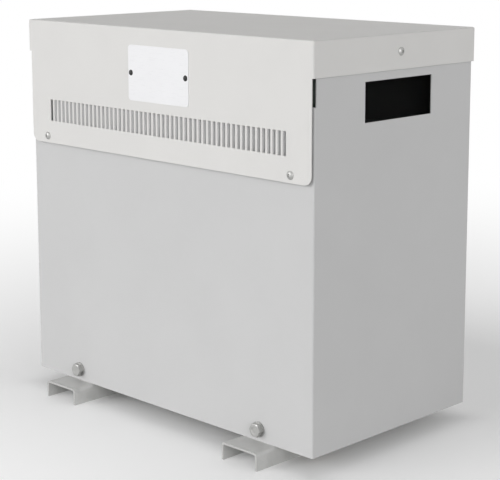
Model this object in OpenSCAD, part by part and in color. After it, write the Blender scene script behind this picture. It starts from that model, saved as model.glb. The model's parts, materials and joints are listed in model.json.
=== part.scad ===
// Enclosed dry-type three-phase transformer on two channel feet.
// Millimetres, +Z up, front towards -Y. The origin lies on the floor, midway
// between the case sides and midway along the feet.

/* [Case] */
// Free width between the outer windings and the case sides
side_air = 44.2; // [40:0.2:60]
// Free depth between the windings and the case's front and rear faces
face_air = 67.2; // [60:0.2:90]
// Free height above the core for the terminals and the cables
wiring_room = 129; // [119:1:170]
// Thickness of the case, rear panel and hood sheet
sheet_t = 1.5; // [1.2:0.1:2]
// Outside radius of the case's upright bends
case_bend_r = 2.5; // [2.5:0.5:6]
// Depth of the open front above the front panel, behind the hood skirt
panel_drop = 80; // [66:1:96]
// How far the side panels start behind the front face above the front panel
corner_notch = 3; // [3:0.5:8]
// Width of the returns folded inwards at the rear
rear_return = 22; // [18:1:30]

/* [Rear panel and crossbar] */
// Diameter of the rear panel screws
panel_screw_d = 5; // [4:1:5]
// Length of the rear panel screws
panel_screw_l = 12; // [8:1:16]
// Height of the lowest rear panel screws above the case's lower edge
panel_screw_low = 80; // [60:5:120]
// Distance of the highest rear panel screws below the panel's upper edge
panel_screw_high = 70; // [60:5:100]
// Distance of the rear panel's side edges from the case sides
panel_margin = 6; // [5:0.5:8]
// Height of the crossbar behind the hood's rear flange
crossbar_h = 62; // [60:1:80]
// Depth of the crossbar's lip under the hood's top
crossbar_lip = 18; // [12:1:30]
// Thickness of the crossbar sheet
crossbar_t = 1.5; // [1:0.5:2]
// Distance of the upper rivets and the crossbar's screws from the sheet edges
crossbar_drop = 12; // [10:1:14]
// Height of the lower rivets above the crossbar's lower edge
crossbar_lift = 30; // [26:1:34]

/* [Cable window] */
// Length of the cable entry window in the right side
window_l = 134; // [100:2:160]
// Height of the cable entry window
window_h = 52; // [40:1:60]
// Distance of the window's upper edge below the case's upper edge
window_drop = 56; // [50:1:70]
// Place of the window's middle along the case's depth
window_y = 3; // [-20:1:20]

/* [Hood] */
// Gap between the case sides and the hood flanges
hood_side_gap = 1; // [0.8:0.1:1.5]
// Gap between the case's rear returns and the hood's rear flange
hood_rear_gap = 1; // [0.8:0.1:1.5]
// Gap behind the front skirt, where the warm air comes down
skirt_gap = 3.5; // [3:0.5:6]
// Height of the side and rear flanges
flange_h = 46; // [40:1:52]
// Height of the front skirt
skirt_h = 178; // [165:1:185]
// Radius of the skirt's lower corners
skirt_corner_r = 12; // [8:1:20]
// How far the skirt is cut back at its left edge
skirt_inset_left = 6; // [3:0.5:8]
// How far the skirt is cut back at its right edge
skirt_inset_right = 3; // [3:0.5:8]

/* [Vents] */
// Number of vent slots in the skirt
slot_count = 53; // [20:1:64]
// Width of one vent slot
slot_w = 5.4; // [3:0.1:6]
// Height of the vent slots
slot_h = 31; // [20:1:36]
// Distance of the row of vent slots from the skirt's side edges
slot_side = 42.5; // [30:0.5:60]
// Height of the slots' lower ends above the skirt's lower edge
slot_z = 33; // [25:1:45]

/* [Nameplate] */
// Width of the blank nameplate
plate_w = 120; // [90:1:140]
// Height of the blank nameplate
plate_h = 76; // [50:1:80]
// Thickness of the nameplate
plate_t = 0.8; // [0.5:0.1:1.5]
// Corner radius of the nameplate
plate_r = 5; // [2:0.5:10]
// Distance from the hood's top down to the nameplate's upper edge
plate_drop = 24; // [18:1:30]
// Distance of each rivet from the nameplate's end
rivet_inset = 5.5; // [5:0.5:10]
// Diameter of the rivet shanks
rivet_d = 3.2; // [2.4:0.2:4]

/* [Hood fasteners] */
// Thread diameter of the hood screws
screw_d = 6; // [5:1:6]
// Head diameter of the hood screws
screw_head_d = 12; // [10:0.5:14]
// Head height of the hood screws
screw_head_h = 3.3; // [2.5:0.1:4]
// Length of the hood screws under the head
screw_l = 14; // [12:1:18]
// Distance of the front screws from the skirt's side edges
screw_side = 35; // [25:1:45]
// Height of the front screws above the skirt's lower edge
screw_rise = 10; // [9:0.5:16]
// Distance of the side screws below the hood's top
side_screw_drop = 23; // [18:1:28]
// Place of the side screws along the case's depth
side_screw_y = 3; // [-20:1:20]
// Thickness of the blind nut flanges
nut_flange_t = 0.8; // [0.6:0.1:0.8]
// Diameter of the blind nut flanges
nut_flange_d = 13; // [11:0.5:15]
// Body diameter of the blind nuts
nut_body_d = 9; // [8.5:0.5:10]
// Length of the blind nut bodies
nut_body_l = 13; // [10:1:15]

/* [Feet] */
// Width of the channel feet
foot_w = 64; // [56:2:80]
// Height of the channel feet
foot_h = 24; // [20:1:40]
// How far the channel feet reach past the case's front and rear
foot_past = 36; // [30:1:60]
// Sheet thickness of the channel feet
foot_t = 3; // [2:0.5:4]
// Outside bend radius of the channel feet
foot_bend_r = 5; // [4.5:0.5:7]
// Distance of the feet's middles from the core's ends
foot_inset = 15; // [10:1:20]

/* [Base] */
// Thickness of the base tray
tray_t = 2; // [1.5:0.5:3]
// Height of the tray's upturned edges
tray_h = 44; // [40:1:60]
// Number of rows of floor vents
floor_rows = 5; // [3:1:7]
// Length of one floor vent
floor_vent_l = 70; // [40:2:80]
// Width of one floor vent
floor_vent_w = 9; // [6:0.5:12]
// Width of the carrier bars over the feet
bar_w = 50; // [44:1:60]
// Thickness of the carrier bars
bar_t = 4; // [4:0.5:8]
// Inside bend radius of the carrier bars
bar_bend_in = 1; // [0.5:0.5:3]
// Height of the carrier bars' upturned ends
bar_end_h = 34; // [32:1:50]
// Thread diameter of the base and mounting bolts
bolt_d = 10; // [8:2:12]
// Washer diameter under the base bolts
washer_d = 21; // [20:0.5:24]
// Washer thickness
washer_t = 2; // [1.5:0.5:3]
// Thickness of the rubber pads under the core
pad_t = 5; // [3:0.5:8]
// Side of the square rubber pads
pad_w = 42; // [36:1:48]
// Diameter of the earth stud
earth_d = 8; // [6:1:10]
// Length of the earth stud
earth_l = 36; // [34:1:50]
// Distance of the earth stud from the case's right side
earth_side = 50; // [46:1:52]
// Distance of the earth stud from the case's front
earth_front = 60; // [50:1:80]
// Thickness of the washer on the earth stud
earth_washer_t = 1.6; // [1:0.2:2]

/* [Core] */
// Width of each core limb and height of each yoke
limb_w = 80; // [76:1:84]
// Depth of the lamination stack
stack_d = 110; // [96:2:116]
// Gap between the carrier bars' clamp legs and the lower yoke
yoke_rise = 1; // [0.5:0.5:4]
// Leg thickness of the clamp angles
clamp_t = 5; // [4:0.5:6]
// Upright leg of the clamp angles
clamp_h = 60; // [56:1:70]
// Flat leg of the clamp angles
clamp_leg = 48; // [44:1:50]
// How far the clamp angles reach past the core's ends
clamp_past = 20; // [17:1:24]
// Distance of the tie bolts from the core's upper and lower ends
tie_inset = 40; // [36:1:46]

/* [Windings] */
// Axial height of the windings
coil_h = 200; // [180:2:210]
// Gap between the windings of neighbouring phases
phase_gap = 8.4; // [6:0.2:14]
// Height of the blocks between the windings and the yokes
block_h = 10; // [8:0.5:14]
// Width of the blocks between the windings and the yokes
block_w = 24; // [20:1:28]
// Depth of the blocks between the windings and the yokes
block_d = 90; // [70:2:100]
// Gap between limb and coil former
former_gap = 0.8; // [0.5:0.1:0.9]
// Wall of the coil formers
former_t = 2.4; // [1.5:0.1:3]
// Radial build of the low-voltage windings
lv_t = 12; // [8:0.5:13]
// Radial build of the high-voltage windings
hv_t = 14; // [8:0.5:15]
// Width of the cooling duct between the windings
duct_t = 6; // [4:0.5:8]
// Width of one duct stick
stick_w = 8; // [6:0.5:12]
// Corner radius of the formers
former_r = 4; // [3:0.5:8]

/* [Terminals] */
// Width of one terminal block
terminal_w = 19.6; // [14:0.2:19.8]
// Height of one terminal block
terminal_h = 50; // [44:1:54]
// Depth of one terminal block in front of its rail
terminal_d = 42; // [36:1:46]
// Height of the terminal rail's middle above the core
rail_rise = 52.5; // [50:0.5:58]
// Distance between the middles of two terminals side by side
terminal_pitch = 20; // [20:0.5:24]
// Distance of the low-voltage leads from the limb axes
lead_spread = 25; // [20:0.5:28]
// Diameter of the wire entries
entry_d = 11; // [8:0.5:12]
// Depth of the wire entries
entry_depth = 12; // [8:1:14]
// Diameter of the clamping screw wells
well_d = 7; // [5:0.5:8]
// Depth of the clamping screw wells
well_depth = 14; // [8:1:16]
// Height of the terminal rail's profile
rail_h = 35; // [35:1:40]
// Depth of the terminal rail's profile
rail_d = 7.5; // [6:0.5:10]
// Sheet thickness of the terminal rail
rail_t = 1; // [1:0.1:1.5]
// How far the terminal rail reaches past the clamp angles
rail_past = 10; // [6:1:14]
// Thickness of the posts that carry the terminal rail
post_t = 4; // [3:0.5:6]
// Width of the posts that carry the terminal rail
post_w = 20; // [16:1:22]
// Overlap of the posts on the upper clamp angle
post_lap = 52; // [48:1:54]
// Height of the posts' lower screws above the posts' lower ends
post_screw_rise = 14; // [12:1:20]
// Thickness of the low-voltage lead bars
bar_lead_t = 3; // [2:0.5:4]
// Width of the low-voltage lead bars
bar_lead_w = 12; // [8:0.5:14]
// Height of the low-voltage leads' straight ends below the terminals
lead_turn = 20; // [16:1:22]
// Diameter of the high-voltage leads
rod_lead_d = 5; // [3:0.5:6]

/* [Hidden] */
$fn = 48;

// Clearances
slip = 0.2;            // sheet that slides inside sheet
hole_play = 0.4;       // shank in its hole, on the diameter
wall = 2 * sheet_t;    // cutters reach this far past a sheet

// Hexagon bolts and nuts
hex_af = 1.7 * bolt_d;
head_h = 0.64 * bolt_d;
nut_h = 0.8 * bolt_d;
thread_past = 3;
nut_room = 0.5;        // nut above the bend it sits over

// Levels of the base stack, from the floor up
base_z = foot_h;
tray_top = base_z + tray_t;
bar_top = tray_top + bar_t;
pad_top = bar_top + pad_t;
lower_leg_top = pad_top + clamp_t;

// Winding shells, each as half width beyond the limb
former_in = former_gap;
former_out = former_in + former_t;
lv_in = former_out + slip;
lv_out = lv_in + lv_t;
hv_in = lv_out + duct_t + 2 * slip;
hv_out = hv_in + hv_t;

// Core planes and levels
limb_pitch = limb_w + 2 * hv_out + phase_gap;
limb_x = [-limb_pitch, 0, limb_pitch];
core_x = limb_pitch + limb_w / 2;
half_stack = stack_d / 2;
clamp_face = half_stack + clamp_t;
clamp_l = 2 * (core_x + clamp_past);
core_window_h = coil_h + 2 * block_h;
core_z = lower_leg_top + yoke_rise;
lower_yoke_top = core_z + limb_w;
coil_z = lower_yoke_top + block_h;
upper_yoke_z = lower_yoke_top + core_window_h;
core_top = upper_yoke_z + limb_w;
tie_z = [core_z + tie_inset, core_top - tie_inset];
tie_l = 2 * (clamp_face + nut_h + thread_past);

// Case planes, set by the core and the free room around it
case_x = core_x + hv_out + side_air;
case_y = half_stack + hv_out + face_air;
case_w = 2 * case_x;
case_d = 2 * case_y;
case_top = core_top + wiring_room;
case_h = case_top - base_z;
panel_top = case_top - panel_drop;

// Hood planes, the bends just wide enough for the case's upper edges
hood_bend_r = sheet_t + min(hood_side_gap, hood_rear_gap);
hood_x = case_x + hood_side_gap + sheet_t;
hood_front = case_y + skirt_gap + sheet_t;
hood_rear = case_y + hood_rear_gap + sheet_t;
hood_top = case_top + sheet_t;
flange_z = hood_top - flange_h;
skirt_z = hood_top - skirt_h;
skirt_left = -hood_x + skirt_inset_left;
skirt_right = hood_x - skirt_inset_right;
skirt_mid = (skirt_left + skirt_right) / 2;
slot_row_w = skirt_right - skirt_left - 2 * slot_side;

// Hood screws and nameplate
screw_z = skirt_z + screw_rise;
front_screw_x = [skirt_left + screw_side, skirt_right - screw_side];
side_screw_z = hood_top - side_screw_drop;
nut_hole_d = nut_body_d + slip;
spacer_t = skirt_gap - nut_flange_t;
plate_z = hood_top - plate_drop - plate_h / 2;
rivet_x = plate_w / 2 - rivet_inset;
rivet_head_d = 2.5 * rivet_d;
rivet_head_h = 0.7 * rivet_d;

// Base tray, carrier bars and their bolts
tray_x = case_x - sheet_t - slip;
tray_y = case_y - sheet_t - slip;
tray_rear = case_y - slip;
tray_bend_r = 2 * tray_t;
bar_front = tray_y - tray_t - slip;
bar_rear = tray_rear - tray_t - slip;
bar_x = [foot_inset - core_x, core_x - foot_inset];
base_bolt_l = washer_t + sheet_t + 2 * slip + tray_t + bar_t + nut_h + thread_past;
base_bolt_level = bar_top + bar_bend_in + hex_af / 2 + nut_room;
foot_l = 2 * (case_y + foot_past);
mount_y = clamp_face + (clamp_leg - clamp_t) / 2;
mount_bolt_l = foot_t + tray_t + bar_t + pad_t + clamp_t + nut_h + thread_past;

// Terminal rail and leads
rail_mid_z = core_top + rail_rise;
rail_l = clamp_l + 2 * rail_past;
post_face = clamp_face + post_t;
post_x = [(post_w - clamp_l) / 2, (clamp_l - post_w) / 2];
post_z = core_top - post_lap;
post_screw_z = post_z + post_screw_rise;
rail_face = post_face + rail_d;
terminal_z = rail_mid_z - terminal_h / 2;
lv_lead_dx = lead_spread;
hv_lead_dx = lead_spread + terminal_pitch;
lv_lead_y = half_stack + (lv_in + lv_out) / 2;
hv_lead_y = half_stack + (hv_in + hv_out) / 2;
lead_turn_z = terminal_z - lead_turn;

// Turn a part whose +Z points out of a face
module to_front() rotate([90, 0, 0]) children();
module to_rear() rotate([-90, 0, 0]) children();
module to_right() rotate([90, 0, 90]) children();
module to_left() rotate([90, 0, -90]) children();

// Quarter of a bent sheet's section, centred on the bend
module bend_2d(r, t) {
    intersection() {
        difference() {
            circle(r = r);
            circle(r = r - t);
        }
        square(r + 1);
    }
}

// Rectangle with four round corners, exact arcs
module round_rect_2d(w, h, r) {
    square([w - 2 * r, h], center = true);
    square([w, h - 2 * r], center = true);
    for (x = [-1, 1], y = [-1, 1])
        translate([x * (w / 2 - r), y * (h / 2 - r)]) circle(r = r);
}

// Hexagon given by its width across flats
module hex_2d(af) circle(d = af / cos(30), $fn = 6);

// Clearance hole for a shank along +Z through a stack
module hole(d, l) translate([0, 0, -l / 2]) cylinder(d = d + hole_play, h = l);

// Hexagon bolt, head on +Z, seated at z = 0
module hex_bolt(d, l) {
    difference() {
        linear_extrude(head_h) hex_2d(hex_af);
        translate([0, 0, head_h - 0.4]) cylinder(d = 0.55 * hex_af, h = 1);
    }
    translate([0, 0, -l]) cylinder(d = d, h = l + 0.1);
}

// Hexagon nut with its bore, seated at z = 0
module hex_nut(d, h) {
    difference() {
        linear_extrude(h) hex_2d(1.7 * d);
        translate([0, 0, -1]) cylinder(d = d + slip, h = h + 2);
    }
}

// Plain washer seated at z = 0
module washer(d_out, d_in, t) {
    difference() {
        cylinder(d = d_out, h = t);
        translate([0, 0, -1]) cylinder(d = d_in + hole_play, h = t + 2);
    }
}

// Button-head screw with a hexagon socket, seated at z = 0
module button_screw(l) {
    dome_r = (pow(screw_head_d / 2, 2) + pow(screw_head_h, 2)) / (2 * screw_head_h);
    difference() {
        intersection() {
            translate([0, 0, screw_head_h - dome_r]) sphere(r = dome_r);
            cylinder(d = screw_head_d + 1, h = screw_head_h + 1);
        }
        translate([0, 0, 0.45 * screw_head_h])
            linear_extrude(screw_head_h) hex_2d(0.34 * screw_head_d);
    }
    translate([0, 0, -l]) cylinder(d = screw_d, h = l + 0.1);
}

// Blind nut: flange outside the sheet, body inside
module blind_nut() {
    difference() {
        union() {
            cylinder(d = nut_flange_d, h = nut_flange_t);
            translate([0, 0, -nut_body_l]) cylinder(d = nut_body_d, h = nut_body_l + 0.1);
        }
        translate([0, 0, -nut_body_l - 1])
            cylinder(d = screw_d + slip, h = nut_body_l + nut_flange_t + 2);
    }
}

// Plan section of the case: front, two sides and the rear returns
module case_plan() {
    r = case_bend_r;
    translate([-case_x + r, -case_y]) square([case_w - 2 * r, sheet_t]);
    for (m = [0, 1]) mirror([m, 0]) {
        translate([case_x - sheet_t, -case_y + r]) square([sheet_t, case_d - 2 * r]);
        translate([case_x - r, -case_y + r]) rotate(-90) bend_2d(r, sheet_t);
        translate([case_x - r, case_y - r]) bend_2d(r, sheet_t);
        translate([case_x - rear_return, case_y - sheet_t]) square([rear_return - r, sheet_t]);
    }
}

// Case front and sides, folded from one sheet
module case_wrap() {
    color("gainsboro") difference() {
        translate([0, 0, base_z]) linear_extrude(case_h) case_plan();
        // open front above the front panel, with the side panels cut back
        translate([-case_x - 1, -case_y - 1, panel_top])
            cube([case_w + 2, corner_notch + 1, panel_drop + 1]);
        // cable entry window
        translate([case_x - wall, window_y - window_l / 2, case_top - window_drop - window_h])
            cube([2 * wall, window_l, window_h]);
        for (x = front_screw_x)
            translate([x, -case_y, screw_z]) to_front() hole(nut_hole_d, 2 * wall);
        translate([case_x, side_screw_y, side_screw_z]) to_right() hole(nut_hole_d, 2 * wall);
        translate([-case_x, side_screw_y, side_screw_z]) to_left() hole(nut_hole_d, 2 * wall);
        for (x = bar_x)
            translate([x, -case_y, base_bolt_level]) to_front() hole(bolt_d, 2 * wall);
        for (p = panel_screw_points)
            translate([p[0], case_y, p[1]]) to_rear() hole(panel_screw_d, 2 * wall);
        for (p = crossbar_rivet_points)
            translate([p[0], case_y, p[1]]) to_rear() hole(rivet_d, 2 * wall);
    }
}

// Removable rear panel, screwed on the returns and the crossbar
panel_x = case_x - panel_margin;
panel_z = flange_z - sheet_t;
panel_screw_x = case_x - rear_return / 2 - panel_margin / 2;
panel_screw_z = [base_z + panel_screw_low, (base_z + panel_z) / 2, panel_z - panel_screw_high];
panel_screw_points = [for (s = [-1, 1], z = panel_screw_z) [s * panel_screw_x, z]];
crossbar_screw_x = [-case_w / 5, case_w / 5];

module rear_panel() {
    color("gainsboro") difference() {
        translate([-panel_x, case_y, base_z]) cube([2 * panel_x, sheet_t, panel_z - base_z]);
        for (p = panel_screw_points)
            translate([p[0], case_y, p[1]]) to_rear() hole(panel_screw_d, 2 * wall);
        for (x = crossbar_screw_x)
            translate([x, case_y, panel_z - crossbar_drop]) to_rear() hole(panel_screw_d, 2 * wall);
        for (x = bar_x)
            translate([x, case_y, base_bolt_level]) to_rear() hole(bolt_d, 2 * wall);
    }
}

// Bar across the rear that stiffens the open top and backs the rear panel
crossbar_z = case_top - crossbar_h;
crossbar_x = case_x - case_bend_r;
crossbar_face = case_y - sheet_t;
crossbar_rivet_points = [for (s = [-1, 1], z = [case_top - crossbar_drop, crossbar_z + crossbar_lift])
    [s * (case_x - rear_return / 2 - sheet_t), z]];

module rear_crossbar() {
    color("silver") difference() {
        union() {
            translate([-crossbar_x, crossbar_face - crossbar_t, crossbar_z])
                cube([2 * crossbar_x, crossbar_t, crossbar_h]);
            translate([-crossbar_x, crossbar_face - crossbar_lip, case_top - crossbar_t])
                cube([2 * crossbar_x, crossbar_lip, crossbar_t]);
        }
        for (x = crossbar_screw_x)
            translate([x, crossbar_face, panel_z - crossbar_drop]) to_rear()
                hole(panel_screw_d, 2 * crossbar_lip);
        for (p = crossbar_rivet_points)
            translate([p[0], case_y, p[1]]) to_rear() hole(rivet_d, 2 * wall);
    }
}

// Case floor with upturned edges and floor vents
module base_tray() {
    r = tray_bend_r;
    corner = case_bend_r + r;
    side_l = tray_y + tray_rear - 2 * corner;
    front_l = 2 * (tray_x - corner);
    rear_l = 2 * (case_x - rear_return - sheet_t);
    color("silver") difference() {
        union() {
            translate([-tray_x + r, -tray_y + r, base_z])
                cube([2 * (tray_x - r), tray_y + tray_rear - 2 * r, tray_t]);
            // side edges
            for (m = [0, 1]) mirror([m, 0, 0])
                translate([0, tray_rear - corner, base_z]) rotate([90, 0, 0])
                    linear_extrude(side_l) tray_edge_2d(tray_x, r);
            // front and rear edges
            translate([-front_l / 2, 0, base_z]) rotate([90, 0, 90])
                linear_extrude(front_l) mirror([1, 0]) tray_edge_2d(tray_y, r);
            translate([-rear_l / 2, 0, base_z]) rotate([90, 0, 90])
                linear_extrude(rear_l) tray_edge_2d(tray_rear, r);
        }
        for (x = bar_x) {
            translate([x, -case_y, base_bolt_level]) to_front() hole(bolt_d, 3 * bolt_d);
            translate([x, case_y, base_bolt_level]) to_rear() hole(bolt_d, 3 * bolt_d);
            for (y = [-mount_y, mount_y]) translate([x, y, base_z]) hole(bolt_d, 3 * bolt_d);
        }
        translate([earth_x, earth_y, base_z]) hole(earth_d, 4 * earth_d);
        for (c = [-1, 0, 1], n = [0:floor_rows - 1])
            translate([c * floor_vent_l * 1.35, (n - (floor_rows - 1) / 2) * 4 * floor_vent_w, base_z])
                floor_vent();
    }
}

// Section of one upturned edge, outer face at x = edge, with a strip of the floor
module tray_edge_2d(edge, r) {
    translate([edge - 2 * r, 0]) square([r, tray_t]);
    translate([edge - tray_t, r]) square([tray_t, tray_h - r]);
    translate([edge - r, r]) rotate(-90) bend_2d(r, tray_t);
}

// Cutter for one floor vent with round ends
module floor_vent() {
    run = floor_vent_l - floor_vent_w;
    translate([-run / 2, -floor_vent_w / 2, -1]) cube([run, floor_vent_w, tray_t + 2]);
    for (x = [-run / 2, run / 2])
        translate([x, 0, -1]) cylinder(d = floor_vent_w, h = tray_t + 2);
}

// Hood: top, flanges and front skirt folded from one sheet, corners welded
module hood() {
    color("whitesmoke") difference() {
        hood_shell();
        for (n = [0:slot_count - 1])
            translate([slot_x(n) - slot_w / 2, -hood_front - 1, skirt_z + slot_z])
                cube([slot_w, sheet_t + 2, slot_h]);
        for (x = front_screw_x)
            translate([x, -hood_front, screw_z]) to_front() hole(screw_d, 2 * wall);
        translate([hood_x, side_screw_y, side_screw_z]) to_right() hole(screw_d, 2 * wall);
        translate([-hood_x, side_screw_y, side_screw_z]) to_left() hole(screw_d, 2 * wall);
        for (s = [-1, 1])
            translate([skirt_mid + s * rivet_x, -hood_front, plate_z]) to_front()
                hole(rivet_d, 2 * wall);
    }
}

// Middle of vent slot n
function slot_x(n) = skirt_mid
    + (n - (slot_count - 1) / 2) * (slot_row_w - slot_w) / (slot_count - 1);

module hood_shell() {
    r = hood_bend_r;
    t = sheet_t;
    deep = hood_front + hood_rear;
    translate([-hood_x + r, -hood_front + r, case_top]) cube([2 * (hood_x - r), deep - 2 * r, t]);
    // side flanges and their bends
    for (m = [0, 1]) mirror([m, 0, 0]) {
        translate([hood_x - t, -hood_front + r, flange_z]) cube([t, deep - 2 * r, flange_h - r]);
        translate([hood_x - r, hood_rear - r, hood_top - r]) rotate([90, 0, 0])
            linear_extrude(deep - 2 * r) bend_2d(r, t);
        // upright and top corners
        translate([hood_x - r, -hood_front + r, 0]) mirror([0, 1, 0]) hood_corner(r, t);
        translate([hood_x - r, hood_rear - r, 0]) hood_corner(r, t);
    }
    // front and rear bends
    translate([-hood_x + r, -hood_front + r, hood_top - r]) rotate([90, 0, 90])
        linear_extrude(2 * (hood_x - r)) mirror([1, 0]) bend_2d(r, t);
    translate([-hood_x + r, hood_rear - r, hood_top - r]) rotate([90, 0, 90])
        linear_extrude(2 * (hood_x - r)) bend_2d(r, t);
    // rear flange
    translate([-hood_x + r, hood_rear - t, flange_z]) cube([2 * (hood_x - r), t, flange_h - r]);
    // front, with the skirt below its band
    translate([0, -hood_front + t, 0]) rotate([90, 0, 0]) linear_extrude(t) front_2d();
}

// Front outline: the band as wide as the hood, the skirt with round lower corners
module front_2d() {
    w = skirt_right - skirt_left;
    r = skirt_corner_r;
    band = hood_x - hood_bend_r;
    translate([-band, flange_z]) square([2 * band, flange_h - hood_bend_r]);
    translate([skirt_left, skirt_z + r]) square([w, skirt_h - hood_bend_r - r]);
    translate([skirt_left + r, skirt_z]) square([w - 2 * r, r]);
    for (x = [skirt_left + r, skirt_right - r]) translate([x, skirt_z + r]) circle(r = r);
}

// Welded corner: upright bend with a round top, towards +X +Y
module hood_corner(r, t) {
    translate([0, 0, flange_z]) linear_extrude(flange_h - r) bend_2d(r, t);
    translate([0, 0, hood_top - r]) intersection() {
        difference() {
            sphere(r = r);
            sphere(r = r - t);
        }
        cube(r + 1);
    }
}

// Blank nameplate with round corners
module nameplate() {
    color("white") translate([skirt_mid, -hood_front, plate_z]) difference() {
        to_front() linear_extrude(plate_t) round_rect_2d(plate_w, plate_h, plate_r);
        for (s = [-1, 1]) translate([s * rivet_x, 0, 0]) to_front() hole(rivet_d, 4 * plate_t);
    }
}

module nameplate_rivets() {
    shank = plate_t + sheet_t;
    cap_r = (pow(rivet_head_d / 2, 2) + pow(rivet_head_h, 2)) / (2 * rivet_head_h);
    color("black") for (s = [-1, 1])
        translate([skirt_mid + s * rivet_x, -hood_front - plate_t, plate_z]) to_front() {
            intersection() {
                translate([0, 0, rivet_head_h - cap_r]) sphere(r = cap_r);
                cylinder(d = rivet_head_d + 1, h = rivet_head_h + 1);
            }
            translate([0, 0, -shank - 1]) cylinder(d = rivet_d, h = shank + 1.1);
            translate([0, 0, -shank - 0.375 * rivet_d]) cylinder(d = 1.5 * rivet_d, h = 0.375 * rivet_d);
        }
}

module hood_front_screws() {
    color("darkgray") for (x = front_screw_x)
        translate([x, -hood_front, screw_z]) to_front() button_screw(screw_l);
}

module hood_side_screws() {
    color("darkgray") {
        translate([hood_x, side_screw_y, side_screw_z]) to_right() button_screw(screw_l);
        translate([-hood_x, side_screw_y, side_screw_z]) to_left() button_screw(screw_l);
    }
}

// Spacers that hold the skirt off the front panel
module skirt_spacers() {
    color("silver") for (x = front_screw_x)
        translate([x, -case_y - nut_flange_t, screw_z]) to_front()
            washer(nut_flange_d + 2, screw_d, spacer_t);
}

module blind_nuts() {
    color("goldenrod") {
        for (x = front_screw_x) translate([x, -case_y, screw_z]) to_front() blind_nut();
        translate([case_x, side_screw_y, side_screw_z]) to_right() blind_nut();
        translate([-case_x, side_screw_y, side_screw_z]) to_left() blind_nut();
    }
}

// Channel foot, web on top, open at both ends
module foot(x) {
    r = foot_bend_r;
    half = foot_w / 2;
    color("silver") difference() {
        translate([x, foot_l / 2, 0]) rotate([90, 0, 0]) linear_extrude(foot_l) {
            translate([-half + r, foot_h - foot_t]) square([foot_w - 2 * r, foot_t]);
            for (m = [0, 1]) mirror([m, 0]) {
                translate([half - foot_t, 0]) square([foot_t, foot_h - r]);
                translate([half - r, foot_h - r]) bend_2d(r, foot_t);
            }
        }
        for (y = [-mount_y, mount_y]) translate([x, y, foot_h]) hole(bolt_d, 3 * bolt_d);
    }
}
module foot_left() foot(bar_x[0]);
module foot_right() foot(bar_x[1]);

// Carrier bar under the core, its upturned ends held by the base bolts
module carrier_bar(x) {
    r = bar_t + bar_bend_in;
    flat_l = bar_front + bar_rear - 2 * r;
    color("dimgray") difference() {
        translate([x - bar_w / 2, 0, tray_top]) rotate([90, 0, 90]) linear_extrude(bar_w) {
            translate([-bar_front + r, 0]) square([flat_l, bar_t]);
            bar_end_2d(bar_rear, r);
            mirror([1, 0]) bar_end_2d(bar_front, r);
        }
        translate([x, -case_y, base_bolt_level]) to_front() hole(bolt_d, 4 * bolt_d);
        translate([x, case_y, base_bolt_level]) to_rear() hole(bolt_d, 4 * bolt_d);
        for (y = [-mount_y, mount_y]) translate([x, y, tray_top]) hole(bolt_d, 3 * bolt_d);
    }
}

// Section of a bar end, outer face at x = edge
module bar_end_2d(edge, r) {
    translate([edge - bar_t, r]) square([bar_t, bar_end_h - r]);
    translate([edge - r, r]) rotate(-90) bend_2d(r, bar_t);
}
module carrier_bar_left() carrier_bar(bar_x[0]);
module carrier_bar_right() carrier_bar(bar_x[1]);

// One child set at each of the two front and two rear base bolts
module at_base_bolts(front_face, rear_face) {
    for (x = bar_x) {
        translate([x, -front_face, base_bolt_level]) to_front() children();
        translate([x, rear_face, base_bolt_level]) to_rear() children();
    }
}

module base_bolts() {
    color("gray") at_base_bolts(case_y + washer_t, case_y + sheet_t + washer_t)
        hex_bolt(bolt_d, base_bolt_l);
}

module base_washers() {
    color("lightgray") at_base_bolts(case_y, case_y + sheet_t) washer(washer_d, bolt_d, washer_t);
}

module base_nuts() {
    color("lightgray") at_base_bolts(bar_front - bar_t, bar_rear - bar_t)
        rotate([180, 0, 0]) hex_nut(bolt_d, nut_h);
}

// Pan-head panel screw seated at z = 0
module pan_screw(d, l) {
    difference() {
        cylinder(d1 = 2 * d, d2 = 1.5 * d, h = 0.6 * d);
        for (a = [0, 90]) rotate(a)
            translate([-0.6 * d, -0.1 * d, 0.35 * d]) cube([1.2 * d, 0.2 * d, d]);
    }
    translate([0, 0, -l]) cylinder(d = d, h = l + 0.1);
}

module rear_panel_screws() {
    color("darkgray") {
        for (p = panel_screw_points)
            translate([p[0], case_y + sheet_t, p[1]]) to_rear()
                pan_screw(panel_screw_d, panel_screw_l);
        for (x = crossbar_screw_x)
            translate([x, case_y + sheet_t, panel_z - crossbar_drop]) to_rear()
                pan_screw(panel_screw_d, panel_screw_l);
    }
}

// Flat-headed rivets that hold the crossbar on the case returns
module crossbar_rivets() {
    color("silver") for (p = crossbar_rivet_points)
        translate([p[0], case_y - sheet_t - crossbar_t, p[1]]) to_front() {
            cylinder(d = 2 * rivet_d, h = 0.375 * rivet_d);
            translate([0, 0, -sheet_t - crossbar_t]) cylinder(d = rivet_d, h = sheet_t + crossbar_t + 0.1);
        }
}

// Earth stud in the case floor with its nuts
earth_x = case_x - earth_side;
earth_y = -case_y + earth_front;

module earth_stud() {
    color("goldenrod") translate([earth_x, earth_y, base_z - 0.8 * earth_d - 2])
        cylinder(d = earth_d, h = earth_l);
}

module earth_nuts() {
    h = 0.8 * earth_d;
    color("goldenrod") translate([earth_x, earth_y, 0]) {
        translate([0, 0, base_z - h]) hex_nut(earth_d, h);
        translate([0, 0, tray_top]) hex_nut(earth_d, h);
        translate([0, 0, tray_top + h]) washer(2 * earth_d, earth_d, earth_washer_t);
        translate([0, 0, tray_top + h + earth_washer_t]) hex_nut(earth_d, h);
    }
}

// Places of the four vertical mounting bolts
module at_mounts() {
    for (x = bar_x, y = [-mount_y, mount_y]) translate([x, y, 0]) children();
}

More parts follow.
